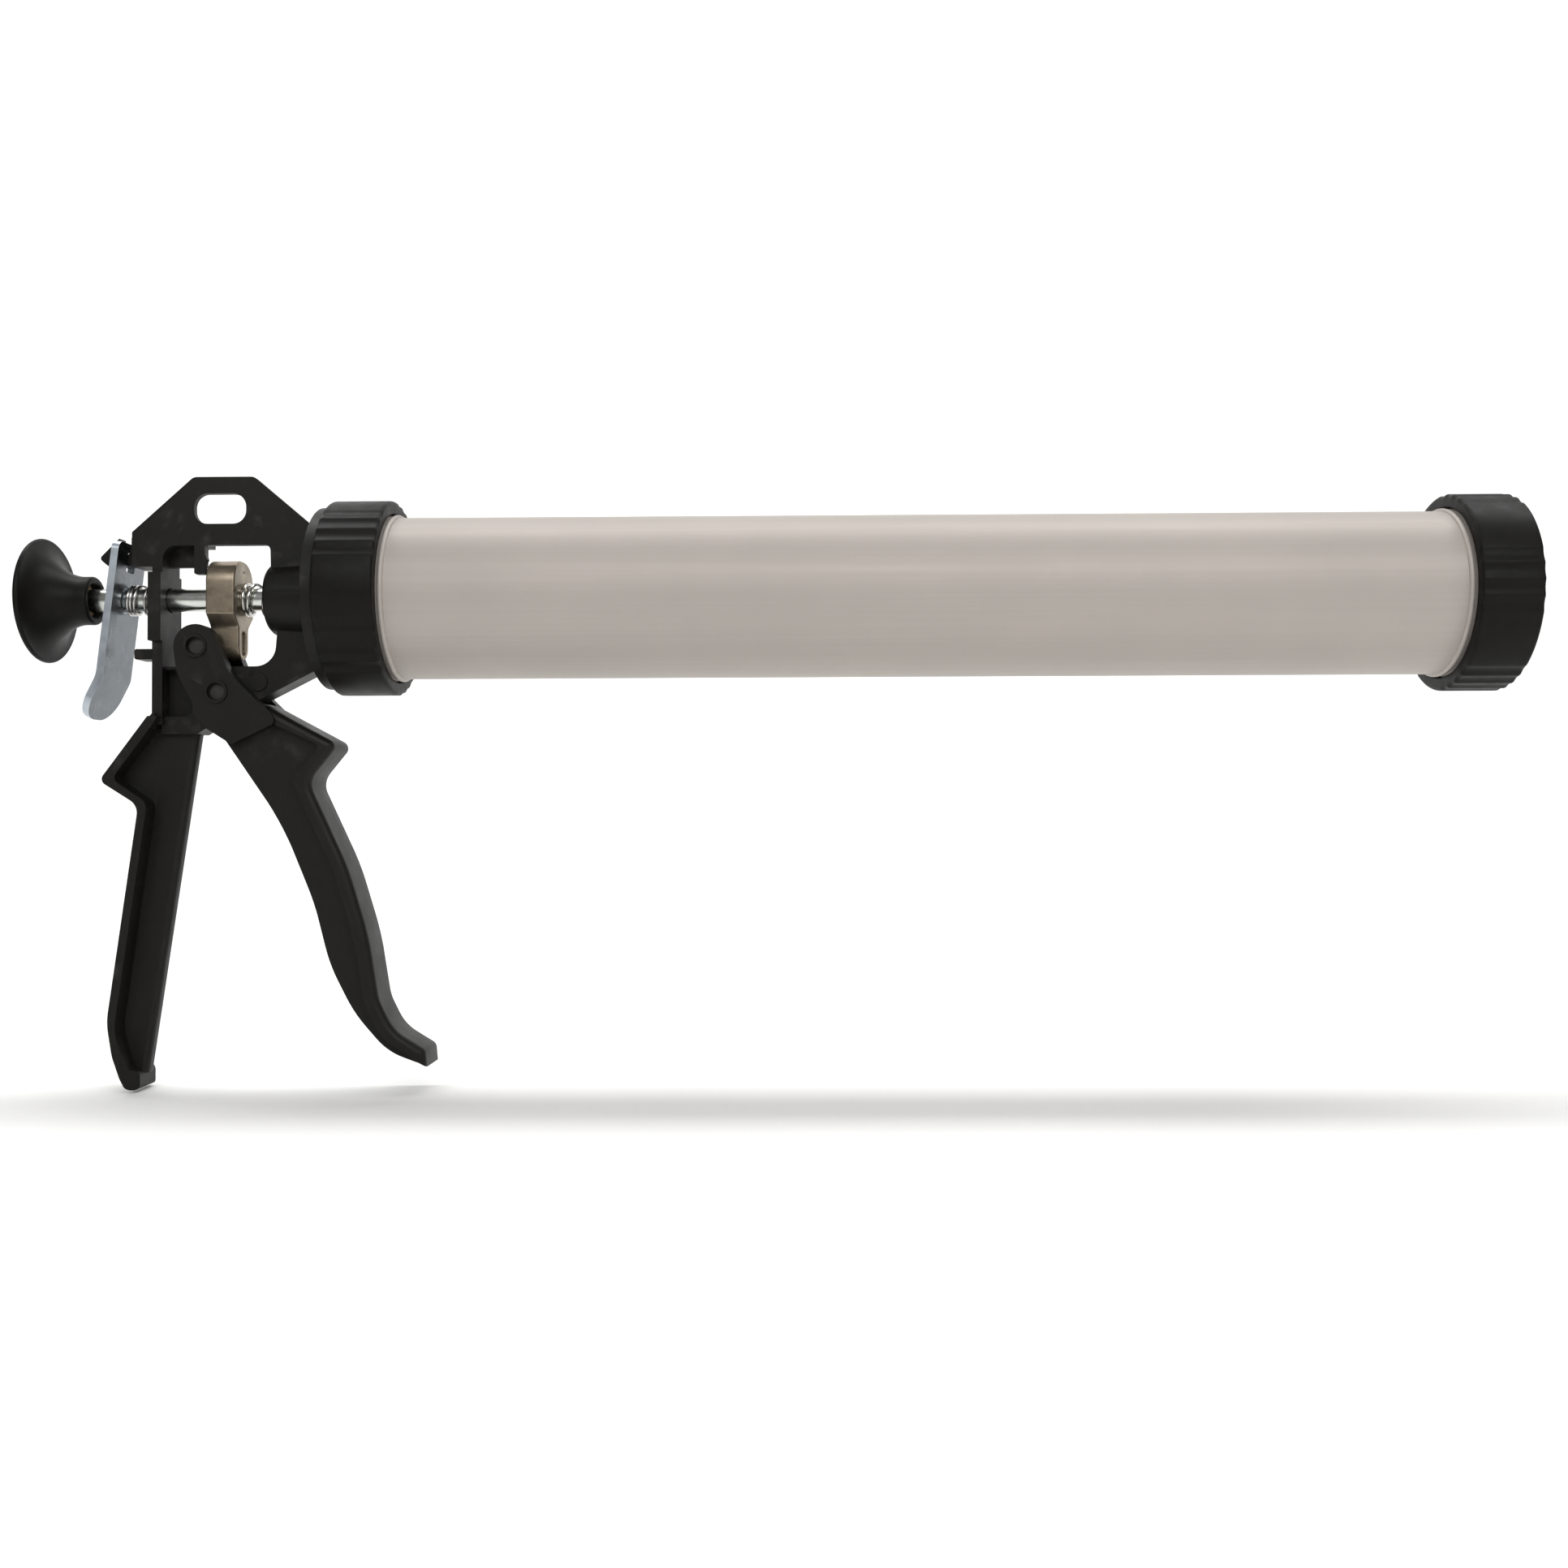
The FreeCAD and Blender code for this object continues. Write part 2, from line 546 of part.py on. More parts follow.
def make_frame():
    body = new_body("frame_casting")
    revolve(body, "disc_and_boss", [
        ("boss_back", "0"), ("spigot_front - 3", "0"), ("spigot_front - 3", "spigot_bore"),
        ("spigot_front", "spigot_bore"), ("spigot_front", "spigot_radius"),
        ("disc_front", "spigot_radius"), ("disc_front", "disc_radius"), ("disc_back", "disc_radius"),
        ("disc_back", "boss_root + 1.2"), ("disc_back - 1.2", "boss_root"),
        ("boss_back + 0.9", "boss_radius"), ("boss_back", "boss_radius - 0.9")])
    side_slab(body, "roof_plate", "skin_near", "skin_far", skin_outline)
    side_slab(body, "corner_block", "skin_near", "-1 * nose_half", block_outline)
    side_slab(body, "spine", "skin_near", "panel_half", spine_outline)
    slab(body, "nose", "nose_half", nose_outline)
    slab(body, "window_panel", "panel_half", lambda sketch: round_outline(sketch, [
        (-455.5, 11.2, 0), (-442.0, 11.2, 0), (-442.0, 18.4, 0), (-455.5, 18.4, 0)]))
    side_slab(body, "stop_rib", "skin_far + 0.2", "-1 * panel_half", lambda sketch: round_outline(sketch, [
        (-443.7, 11.2, 0), (-442.0, 11.2, 0), (-442.0, 18.4, 0), (-443.7, 18.4, 0)]))
    slab(body, "disc_gusset", "nose_half", lambda sketch: round_outline(sketch, [
        (-415.5, 10.0, 0), (size("disc_front") - 1, 10.0, 0), (size("disc_front") - 1, 19.5, 0),
        (size("disc_back"), 19.5, 0)]))
    slab(body, "wall", "wall_half", lambda sketch: bound_outline(sketch, [
        ("wall_back", "-43"), ("wall_front", "-43"), ("wall_front", "12.4"), ("wall_back", "12.4")]))
    slab(body, "guide_pad", "pad_half", lambda sketch: bound_outline(sketch, [
        ("pad_back", "-14.6"), ("wall_front", "-14.6"), ("wall_front", "8.7"), ("pad_back", "8.7")]))
    slab(body, "release_stop", "4", lambda sketch: round_outline(sketch, [
        (-465.4, -20.7, 0.8), (-465.4, -17.1, 0.8), (-457.0, -17.1, 0), (-457.0, -20.7, 0)]))
    slab(body, "strap_tab", "wall_half + 1", lambda sketch: round_outline(sketch, [
        (-460.3, -44.6, 0), (-456.5, -44.6, 0), (-456.5, -39.2, 0), (-457.4, -39.2, 0),
        (-460.3, -42.6, 0)]))
    slab(body, "yoke", "lower_half", lower_outline)
    slab(body, "pivot_lug", "lug_half", lambda sketch: circle(
        sketch, "pivot_x", "pivot_z", "lug_radius"))
    slab(body, "ejector_boss", "lower_half + 0.6", lambda sketch: round_outline(sketch, [
        (-425.3, -31.7, 2.9), (-419.3, -31.7, 2.9), (-419.3, -25.7, 2.9), (-425.3, -25.7, 2.9)]))
    slab(body, "back_strap", "flange_half", flange_outline)
    taper_foot(body)
    web = slab(body, "handle_web", "handle_half", handle_outline)

    def web_front(edge):
        box = edge.BoundBox
        side = box.YLength < 0.01 and abs(abs(box.YMin) - size("handle_half")) < 0.01
        return side and box.ZLength > 90 and box.XMax > -446
    dress(body, "Fillet", "web_edge", web, web_front, size("web_round"))
    slot_through(body, "hanging_slot", "20", slot_outline)
    slot_through(body, "bar_notch", "20", lambda sketch: round_outline(sketch, [
        (-471.4, 15.5, 0), (-467.2, 15.5, 0), (-467.2, 30.0, 0), (-471.4, 30.0, 0)]))
    slot_through(body, "pivot_bore", "20", lambda sketch: circle(
        sketch, "pivot_x", "pivot_z", "pin_radius + 0.02"))
    side_recess(body, "yoke_recess", "XZ_Plane", "lower_half", "3.8", lambda sketch: round_outline(
        sketch, [(size("wall_front"), -40.4, 0), (-444.4, -40.4, 3.0), (-446.5, -24.3, 0),
                 (size("wall_front"), -24.3, 0)]))
    groove(body, "spring_pocket", [("boss_back - 1", "0"), ("pocket_floor", "0"),
                                   ("pocket_floor", "pocket_radius"), ("boss_back - 1", "pocket_radius")])
    groove(body, "bush_seat", [("pocket_floor - 1", "0"), ("bush_front", "0"),
                               ("bush_front", "bush_radius + 0.02"),
                               ("pocket_floor - 1", "bush_radius + 0.02")])
    groove(body, "rod_bore", [("pad_back - 1", "0"), ("spigot_front + 1", "0"),
                              ("spigot_front + 1", "rod_radius + 0.3"),
                              ("pad_back - 1", "rod_radius + 0.3")])
    return body


def taper_foot(body):
    """The back strap narrows in plan where it curls under the handle."""
    before = body.Shape.Volume
    for side in (1, -1):
        sketch = new_sketch(body, "foot_%s" % ("left" if side > 0 else "right"), "XY_Plane")
        sketch.AttachmentOffset = Placement(Vector(0, 0, -150), Rotation())
        wide = side * (size("flange_half") + 1)
        narrow = side * (size("handle_half") + 0.6)
        round_outline(sketch, [(-467.0, side * size("flange_half"), 0), (-459.0, narrow, 0),
                               (-455.0, narrow, 0), (-455.0, wide, 0), (-467.0, wide, 0)])
        cut = body.newObject("PartDesign::Pocket", sketch.Name + "_cut")
        cut.Profile = sketch
        cut.Length = 25
        doc.recompute()
    must_cut(body, before, "foot taper")


def make_bush():
    body, ring = make_ring("rod_bush", "pocket_floor", "bush_front - 0.02", "rod_radius + 0.06",
                           "bush_radius")
    return body


# ---------------------------------------------------------------- trigger, pins and driver

# Front edge of the grip from the yoke to the toe, with the finger horn, and its back edge upward.
GRIP_FRONT = [(-418.5, -37.0, 0), (-394.0, -50.2, 2.6), (-404.2, -62.8, 6.5), (-390.8, -91.5, 110.0),
              (-383.6, -115.5, 110.0), (-380.3, -136.5, 16.0), (-375.3, -146.6, 16.0)]
GRIP_TOE = [(-364.5, -153.2, 2.6), (-364.0, -158.9, 1.6)]
GRIP_BACK = [(-377.5, -153.9, 22.0), (-388.8, -141.0, 50.0), (-397.2, -124.5, 55.0),
             (-402.2, -104.5, 90.0), (-413.3, -77.0, 110.0), (-436.2, -43.7, 0)]


def inward(points, distance):
    """The same run of corners moved to its right-hand side, toward the palm."""
    moved = []
    for index, (x, z, radius) in enumerate(points):
        before = points[max(index - 1, 0)]
        after = points[min(index + 1, len(points) - 1)]
        normals = []
        for start, end in ((before, points[index]), (points[index], after)):
            run = Vector(end[0] - start[0], end[1] - start[1], 0)
            if run.Length > 0:
                run.normalize()
                normals.append(Vector(run.y, -run.x, 0))
        if len(normals) == 1:
            normals.append(normals[0])
        total = normals[0] + normals[1]
        shift = total * (distance / (1 + normals[0].dot(normals[1])))
        moved.append((x + shift.x, z + shift.y, radius))
    return moved


def off_path(spot, path):
    """Distance of a point, seen from the side, to a run of straight legs."""
    flat = Vector(spot.x, 0, spot.z)
    legs = [Part.LineSegment(Vector(a[0], 0, a[1]), Vector(b[0], 0, b[1])).toShape()
            for a, b in zip(path, path[1:])]
    return min(leg.distToShape(Part.Vertex(flat))[0] for leg in legs)


def cheek_outline(sketch):
    round_outline(sketch, [
        (-435.4, -12.9, 0), (-430.2, -26.0, 14.0), (-413.6, -42.6, 2.0), (-429.4, -50.1, 0),
        (-438.4, -44.4, 2.5), (-448.0, -25.5, 4.0), (-449.1, -17.2, 0)])


def grip_outline(sketch):
    round_outline(sketch, GRIP_FRONT + GRIP_TOE + GRIP_BACK)


def make_trigger():
    body = new_body("trigger")
    slab(body, "grip", "grip_half", grip_outline)
    inner = inward(GRIP_FRONT[:-1], size("grip_wall"))
    slot_through(body, "grip_channel", "grip_inner", lambda sketch: round_outline(
        sketch, [(x, z, radius if radius > 20 else 0) for x, z, radius in inner] + [
            (-382.5, -143.5, 0), (-394.0, -143.5, 0), (-421.0, -97.0, 0), (-450.0, -40.0, 0)]))
    backs = inward(GRIP_FRONT, size("front_wall"))
    backs[2] = (backs[2][0], backs[2][1], 4.0)
    backs[1] = (backs[1][0] + 1.5, backs[1][1] + 1.0, 2.0)
    toe_x, toe_z, toe_radius = GRIP_TOE[1]
    strap = slab(body, "front_strap", "front_half", lambda sketch: round_outline(
        sketch, GRIP_FRONT + GRIP_TOE[:1] + [(toe_x, toe_z, 0)] + backs[::-1]))

    def strap_front(edge):
        box = edge.BoundBox
        side = box.YLength < 0.01 and abs(abs(box.YMin) - size("front_half")) < 0.01
        return side and off_path(edge.CenterOfMass, GRIP_FRONT + GRIP_TOE) < 2.0
    dress(body, "Fillet", "strap_edge", strap, strap_front, size("strap_round"))
    slab(body, "cheeks", "cheek_half", cheek_outline)
    slab(body, "cheek_ends", "cheek_half", lambda sketch: circle(
        sketch, "thrust_x", "thrust_z", "cheek_round"))
    slab(body, "thrust_ring", "cheek_half + ring_height", lambda sketch: circle(
        sketch, "thrust_x", "thrust_z", "ring_radius"))
    slab(body, "pivot_ring", "cheek_half + ring_height", lambda sketch: circle(
        sketch, "pivot_x", "pivot_z", "ring_radius"))
    first = inward(GRIP_FRONT[:2], size("grip_wall"))[0]
    slot_through(body, "yoke_gap", "cheek_inner", lambda sketch: round_outline(sketch, [
        (-418.5, -30.0, 0), (first[0] - 1.0, first[1], 0), (-414.6, -42.6, 0), (-429.9, -50.6, 0),
        (-452.0, -58.0, 0), (-458.0, -12.0, 0), (-440.0, -4.0, 0)]))
    for name in ("thrust", "pivot"):
        fit = "pin_radius + pin_fit" if name == "pivot" else "pin_radius + 0.01"
        slot_through(body, name + "_bore", "20", lambda sketch: circle(
            sketch, name + "_x", name + "_z", fit))
        side_recess(body, name + "_counterbore", "XZ_Plane", "cheek_half + ring_height", "ring_depth",
                    lambda sketch: circle(sketch, name + "_x", name + "_z", "ring_bore"))
    return body


def make_pin(label, where):
    pin = doc.addObject("Part::Cylinder", label)
    pin.Label = label
    pin.setExpression("Radius", "dims.pin_radius")
    pin.setExpression("Height", "2 * dims.pin_half")
    pin.Placement = Placement(Vector(size(where + "_x"), size("pin_half"), size(where + "_z")),
                              Rotation(Vector(1, 0, 0), 90))
    PARTS.append(pin)
    return pin


def make_driver():
    """Sintered block: broad head round the rod, narrow tail between the trigger's cheeks."""
    body = new_body("driver_block")
    sketch = new_sketch(body, "driver_outline", "YZ_Plane")
    sketch.setExpression("AttachmentOffset.Base.z", "dims.driver_back")
    half = size("driver_half")
    tail = size("tail_half")
    top = size("driver_top")
    shoulder = size("driver_shoulder")
    foot = size("driver_tail")
    round_outline(sketch, [
        (half, shoulder, 1.2), (half, top, 8.0), (-half, top, 8.0), (-half, shoulder, 1.2),
        (-tail, shoulder - 4.2, 2.0), (-tail, foot, 4.2), (tail, foot, 4.2), (tail, shoulder - 4.2, 2.0)])
    block = body.newObject("PartDesign::Pad", "block")
    block.Profile = sketch
    block.setExpression("Length", "dims.driver_front - dims.driver_back")
    doc.recompute()

    def rim(edge):
        box = edge.BoundBox
        return box.XLength < 0.01
    dress(body, "Fillet", "eased_rims", block, rim, 0.7)
    before = body.Shape.Volume
    for name, depth in (("tail_groove", 0.8), ("gauge_dimple", 0.5)):
        mark = new_sketch(body, name + "_outline", "YZ_Plane")
        mark.setExpression("AttachmentOffset.Base.z", "dims.driver_front")
        if name == "tail_groove":
            round_outline(mark, [(-2.1, -19.2, 2.1), (2.1, -19.2, 2.1), (2.1, -10.8, 2.1), (-2.1, -10.8, 2.1)])
        else:
            mark.addGeometry(Part.Circle(Vector(0, 9.3, 0), Vector(0, 0, 1), 0.6), False)
        cut = body.newObject("PartDesign::Pocket", name)
        cut.Profile = mark
        cut.Length = depth
        doc.recompute()
    must_cut(body, before, "front marks")
    groove(body, "rod_hole", [("driver_back - 1", "0"), ("driver_front + 1", "0"),
                              ("driver_front + 1", "rod_radius + 0.08"),
                              ("driver_back - 1", "rod_radius + 0.08")])
    return body


# ---------------------------------------------------------------- release plate and springs

def make_release_plate():
    """Bent steel plate: a window that hooks on the nose, a hole for the rod, a thumb tab."""
    body = new_body("release_plate")
    lean = math.radians(size("plate_lean"))
    down = Vector(-math.sin(lean), -math.cos(lean), 0)
    bend = math.radians(size("plate_lean") + size("plate_bend"))
    tab_down = Vector(-math.sin(bend), -math.cos(bend), 0)
    back = Vector(-math.cos(lean), math.sin(lean), 0) * size("plate_thick")
    tab_back = Vector(-math.cos(bend), math.sin(bend), 0) * size("plate_thick")
    hook = Vector(size("plate_x"), size("plate_z"), 0)
    top = hook - down * size("plate_top")
    knee = hook + down * size("plate_knee")
    end = knee + tab_down * size("tab_length")
    knee_back = knee + (back + tab_back) * (1 / (1 + math.cos(math.radians(size("plate_bend")))))
    slab(body, "sheet", "plate_half", lambda sketch: round_outline(sketch, [
        (top.x, top.y, 0), (knee.x, knee.y, 8.0), (end.x, end.y, 0),
        ((end + tab_back).x, (end + tab_back).y, 0), (knee_back.x, knee_back.y, 10.0),
        ((top + back).x, (top + back).y, 0)]))
    base = body.Tip
    rounds = [("tab_corners", 8.5, lambda box: box.ZMax < end.y + 2.5),
              ("top_corners", 3.0, lambda box: box.ZMin > top.y - 1.0)]
    for name, radius, near in rounds:
        def corner(edge, near=near):
            box = edge.BoundBox
            wide = abs(abs(box.YMin) - size("plate_half")) < 0.01 and box.YLength < 0.01
            return wide and near(box) and abs(edge.Length - size("plate_thick")) < 0.05
        base = dress(body, "Fillet", name, base, corner, radius)
    for name in ("window", "rod_hole"):
        sketch = new_sketch(body, name + "_outline", "YZ_Plane")
        sketch.AttachmentOffset = Placement(Vector(0, 0, -490), Rotation())
        if name == "window":
            half = size("window_half")
            window_top = size("plate_z") + size("window_top")
            window_foot = size("plate_z") + size("window_foot")
            round_outline(sketch, [(-half, window_foot, 0.8), (half, window_foot, 0.8),
                                   (half, window_top, 0.8), (-half, window_top, 0.8)])
        else:
            circle(sketch, "0", "0", "plate_hole")
        before = body.Shape.Volume
        cut = body.newObject("PartDesign::Pocket", name)
        cut.Profile = sketch
        cut.Reversed = True
        cut.Length = 40
        doc.recompute()
        must_cut(body, before, name)
    return body


def make_spring(label, back, front, wire, coil, turns):
    """Round-wire compression spring along the rod."""
    path = doc.addObject("Part::Helix", label + "_path")
    path.setExpression("Height", "%s - 2 * dims.%s" % (with_sheet("(%s) - (%s)" % (front, back)), wire))
    path.setExpression("Pitch", "Height / dims.%s" % turns)
    path.setExpression("Radius", "dims." + coil)
    section = doc.addObject("Part::Circle", label + "_section")
    section.setExpression("Radius", "dims." + wire)
    section.Placement = Placement(Vector(size(coil), 0, 0), Rotation(Vector(1, 0, 0), 90))
    sweep = doc.addObject("Part::Sweep", label)
    sweep.Label = label
    sweep.Sections = [section]
    sweep.Spine = (path, ["Edge1"])
    sweep.Solid = True
    sweep.Frenet = True
    start = float(sheet.evalExpression(back)) + size(wire)
    sweep.Placement = Placement(Vector(start, 0, 0), Rotation(Vector(0, 1, 0), 90))
    PARTS.append(sweep)
    doc.recompute()
    return sweep


# ---------------------------------------------------------------- assembly and export

def build():
    make_frame()
    make_tube()
    make_rear_collar()
    make_front_collar()
    make_rod()
    make_knob()
    make_insert()
    make_piston()
    make_seal()
    make_ring("rear_washer", "rod_shoulder + 0.03", "web_back - 0.03", "rod_end_radius + 0.1",
              "washer_radius")
    make_ring("front_washer", "web_front + 0.03", "web_front + 0.03 + washer_thick",
              "rod_end_radius + 0.1", "washer_radius")
    make_lock_washer("web_front + 0.05 + washer_thick", "web_front + 0.05 + washer_thick + lock_thick")
    make_nut("web_front + 0.07 + washer_thick + lock_thick")
    make_bush()
    make_trigger()
    make_pin("pivot_pin", "pivot")
    make_pin("thrust_pin", "thrust")
    make_driver()
    make_spring("driver_spring", "driver_front + 0.05", "pocket_floor - 0.05", "driver_wire",
                "driver_coil", "driver_turns")
    make_release_plate()
    make_spring("release_spring", "pad_back - 9.9", "pad_back - 0.05", "release_wire",
                "release_coil", "release_turns")
    doc.recompute()


def check_and_write():
    for item in doc.Objects:
        if "Invalid" in item.State or "Error" in item.State:
            raise RuntimeError("failed object: " + item.Name)
    os.makedirs("parts", exist_ok=True)
    for item in PARTS:
        shape = item.Shape
        if shape.isNull() or not shape.isValid() or len(shape.Solids) != 1:
            raise RuntimeError("bad shape: %s, %d solids" % (item.Label, len(shape.Solids)))
        shape.exportStep("parts/%s.step" % item.Label)
        box = shape.BoundBox
        print("%-16s %9.0f mm3  x %7.1f %7.1f  y %6.1f %6.1f  z %7.1f %7.1f" % (
            item.Label, shape.Volume, box.XMin, box.XMax, box.YMin, box.YMax, box.ZMin, box.ZMax))


build()
check_and_write()
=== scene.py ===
import math

import bmesh
import bpy
from mathutils import Matrix, Vector


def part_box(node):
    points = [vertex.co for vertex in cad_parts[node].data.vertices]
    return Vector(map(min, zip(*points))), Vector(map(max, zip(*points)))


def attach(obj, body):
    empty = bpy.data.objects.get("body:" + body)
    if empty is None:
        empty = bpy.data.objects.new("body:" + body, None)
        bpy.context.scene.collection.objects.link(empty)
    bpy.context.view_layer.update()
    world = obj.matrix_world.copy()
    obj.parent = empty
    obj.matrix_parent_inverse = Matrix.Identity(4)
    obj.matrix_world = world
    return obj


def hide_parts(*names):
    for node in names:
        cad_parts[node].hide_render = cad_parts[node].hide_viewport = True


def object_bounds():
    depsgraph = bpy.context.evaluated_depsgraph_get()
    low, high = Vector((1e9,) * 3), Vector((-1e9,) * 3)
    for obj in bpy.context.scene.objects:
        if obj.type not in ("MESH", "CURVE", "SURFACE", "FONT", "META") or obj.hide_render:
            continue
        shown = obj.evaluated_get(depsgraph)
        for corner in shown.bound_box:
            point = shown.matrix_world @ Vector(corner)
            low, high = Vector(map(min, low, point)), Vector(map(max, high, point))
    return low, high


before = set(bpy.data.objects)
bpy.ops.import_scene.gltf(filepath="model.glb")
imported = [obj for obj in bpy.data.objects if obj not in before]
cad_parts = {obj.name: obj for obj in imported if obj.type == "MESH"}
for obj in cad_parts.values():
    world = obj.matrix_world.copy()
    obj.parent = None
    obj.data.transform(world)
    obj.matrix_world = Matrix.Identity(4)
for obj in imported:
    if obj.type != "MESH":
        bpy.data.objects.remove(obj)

bl_info = {
    "name": "Caulking Gun Builder",
    "version": (1, 0, 0),
    "blender": (4, 5, 0),
    "location": "View3D > Sidebar > Caulking Gun",
    "description": "Builds the visible pieces of a foil-pack caulking gun round its CAD frame",
    "category": "Object",
}

# The gun lies along X with its nozzle end at the origin and its left side towards -Y. Metres.
CAD_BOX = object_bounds()
MM = 0.001


# ------------------------------------------------------------------ settings

class GunSizes(bpy.types.PropertyGroup):
    """Sizes that the pieces are built to; the defaults come from the CAD frame."""
    tube_radius: bpy.props.FloatProperty(
        name="Tube radius", description="Outside radius of the barrel tube",
        default=0.0275, min=0.01, max=0.06, unit="LENGTH")
    tube_wall: bpy.props.FloatProperty(
        name="Tube wall", description="Wall thickness of the barrel tube",
        default=0.0015, min=0.0005, max=0.005, unit="LENGTH")
    bead_height: bpy.props.FloatProperty(
        name="Thread height", description="Height of the rolled thread over the tube",
        default=0.00095, min=0.0, max=0.003, unit="LENGTH")
    bead_pitch: bpy.props.FloatProperty(
        name="Thread pitch", description="Distance between the turns of the rolled thread",
        default=0.003, min=0.001, max=0.01, unit="LENGTH")
    collar_edge: bpy.props.FloatProperty(
        name="Collar edge", description="Radius of the rounded rims of the collars",
        default=0.0013, min=0.0, max=0.005, unit="LENGTH")
    flute_depth: bpy.props.FloatProperty(
        name="Flute depth", description="Depth of the grip flutes in the collars",
        default=0.00045, min=0.0, max=0.003, unit="LENGTH")
    flute_step: bpy.props.FloatProperty(
        name="Flute step", description="Angle from one flute to the next in a group",
        default=math.radians(9.4), min=0.02, max=0.5, unit="ROTATION")
    flute_groups: bpy.props.IntProperty(
        name="Flute groups", description="Groups of flutes round a collar",
        default=5, min=1, max=12)
    casting_edge: bpy.props.FloatProperty(
        name="Casting edge", description="Width of the eased edges of the castings",
        default=0.0006, min=0.0001, max=0.002, unit="LENGTH")
    lathe_steps: bpy.props.IntProperty(
        name="Lathe steps", description="Facets round a turned piece", default=160, min=24, max=720)


class GunColours(bpy.types.PropertyGroup):
    """Base colours of the finishes."""
    casting: bpy.props.FloatVectorProperty(
        name="Casting", description="Powder coat on the frame and the trigger", subtype="COLOR",
        size=3, default=(0.0056, 0.0051, 0.0045), min=0, max=1)
    moulded: bpy.props.FloatVectorProperty(
        name="Moulded nylon", description="Collars and pull knob", subtype="COLOR",
        size=3, default=(0.0046, 0.0042, 0.0038), min=0, max=1)
    anodised: bpy.props.FloatVectorProperty(
        name="Anodised tube", description="Matte anodised aluminium", subtype="COLOR",
        size=3, default=(0.40, 0.365, 0.335), min=0, max=1)
    zinc: bpy.props.FloatVectorProperty(
        name="Zinc", description="Bright zinc plating on the plate", subtype="COLOR",
        size=3, default=(0.15, 0.165, 0.18), min=0, max=1)
    rod: bpy.props.FloatVectorProperty(
        name="Rod", description="Zinc plated rod", subtype="COLOR",
        size=3, default=(0.66, 0.68, 0.64), min=0, max=1)
    sintered: bpy.props.FloatVectorProperty(
        name="Sintered steel", description="Driver block", subtype="COLOR",
        size=3, default=(0.24, 0.20, 0.15), min=0, max=1)


def sizes():
    return bpy.context.scene.gun_sizes


def colours():
    return bpy.context.scene.gun_colours


# ------------------------------------------------------------------ node helpers

class Nodes:
    """A material's node tree, with short calls that add and link its nodes."""

    def __init__(self, name):
        self.material = bpy.data.materials.new(name)
        self.material.use_nodes = True
        self.tree = self.material.node_tree
        self.tree.nodes.clear()
        self.output = self.tree.nodes.new("ShaderNodeOutputMaterial")
        self.shader = self.tree.nodes.new("ShaderNodeBsdfPrincipled")
        self.tree.links.new(self.shader.outputs["BSDF"], self.output.inputs["Surface"])
        self.place = self.tree.nodes.new("ShaderNodeTexCoord").outputs["Object"]

    def set(self, **values):
        for name, value in values.items():
            self.shader.inputs[name.replace("_", " ")].default_value = value

    def link(self, source, target):
        self.tree.links.new(source, target)

    def stretched(self, scale):
        node = self.tree.nodes.new("ShaderNodeMapping")
        node.inputs["Scale"].default_value = scale
        self.link(self.place, node.inputs["Vector"])
        return node.outputs["Vector"]

    def noise(self, scale, detail=3.0, roughness=0.55, vector=None):
        node = self.tree.nodes.new("ShaderNodeTexNoise")
        node.inputs["Scale"].default_value = scale
        node.inputs["Detail"].default_value = detail
        node.inputs["Roughness"].default_value = roughness
        self.link(vector or self.place, node.inputs["Vector"])
        return node.outputs["Fac"]

    def cells(self, scale):
        node = self.tree.nodes.new("ShaderNodeTexVoronoi")
        node.inputs["Scale"].default_value = scale
        self.link(self.place, node.inputs["Vector"])
        return node.outputs["Distance"]

    def spread(self, value, low, high, to_low=0.0, to_high=1.0):
        node = self.tree.nodes.new("ShaderNodeMapRange")
        node.inputs["From Min"].default_value = low
        node.inputs["From Max"].default_value = high
        node.inputs["To Min"].default_value = to_low
        node.inputs["To Max"].default_value = to_high
        self.link(value, node.inputs["Value"])
        return node.outputs["Result"]

    def mix(self, factor, first, second):
        node = self.tree.nodes.new("ShaderNodeMix")
        node.data_type = "RGBA"
        for value, socket in ((factor, node.inputs[0]), (first, node.inputs[6]),
                              (second, node.inputs[7])):
            if isinstance(value, bpy.types.NodeSocket):
                self.link(value, socket)
            elif isinstance(value, float):
                socket.default_value = value
            else:
                socket.default_value = (*value[:3], 1.0)
        return node.outputs[2]

    def math(self, operation, first, second):
        node = self.tree.nodes.new("ShaderNodeMath")
        node.operation = operation
        for value, socket in ((first, node.inputs[0]), (second, node.inputs[1])):
            if isinstance(value, bpy.types.NodeSocket):
                self.link(value, socket)
            else:
                socket.default_value = value
        return node.outputs[0]

    def bump(self, height, strength, distance, normal=None):
        node = self.tree.nodes.new("ShaderNodeBump")
        node.inputs["Strength"].default_value = strength
        node.inputs["Distance"].default_value = distance
        self.link(height, node.inputs["Height"])
        if normal is not None:
            self.link(normal, node.inputs["Normal"])
        return node.outputs["Normal"]

    def edges(self, low, high):
        """1 on sharp outer edges, 0 on flats."""
        node = self.tree.nodes.new("ShaderNodeNewGeometry")
        return self.spread(node.outputs["Pointiness"], low, high)

    def finish(self, colour, roughness, normal=None):
        self.link(colour, self.shader.inputs["Base Color"])
        self.link(roughness, self.shader.inputs["Roughness"])
        if normal is not None:
            self.link(normal, self.shader.inputs["Normal"])
        return self.material


def shade(colour, factor):
    return tuple(min(1.0, channel * factor) for channel in colour)


# ------------------------------------------------------------------ finishes

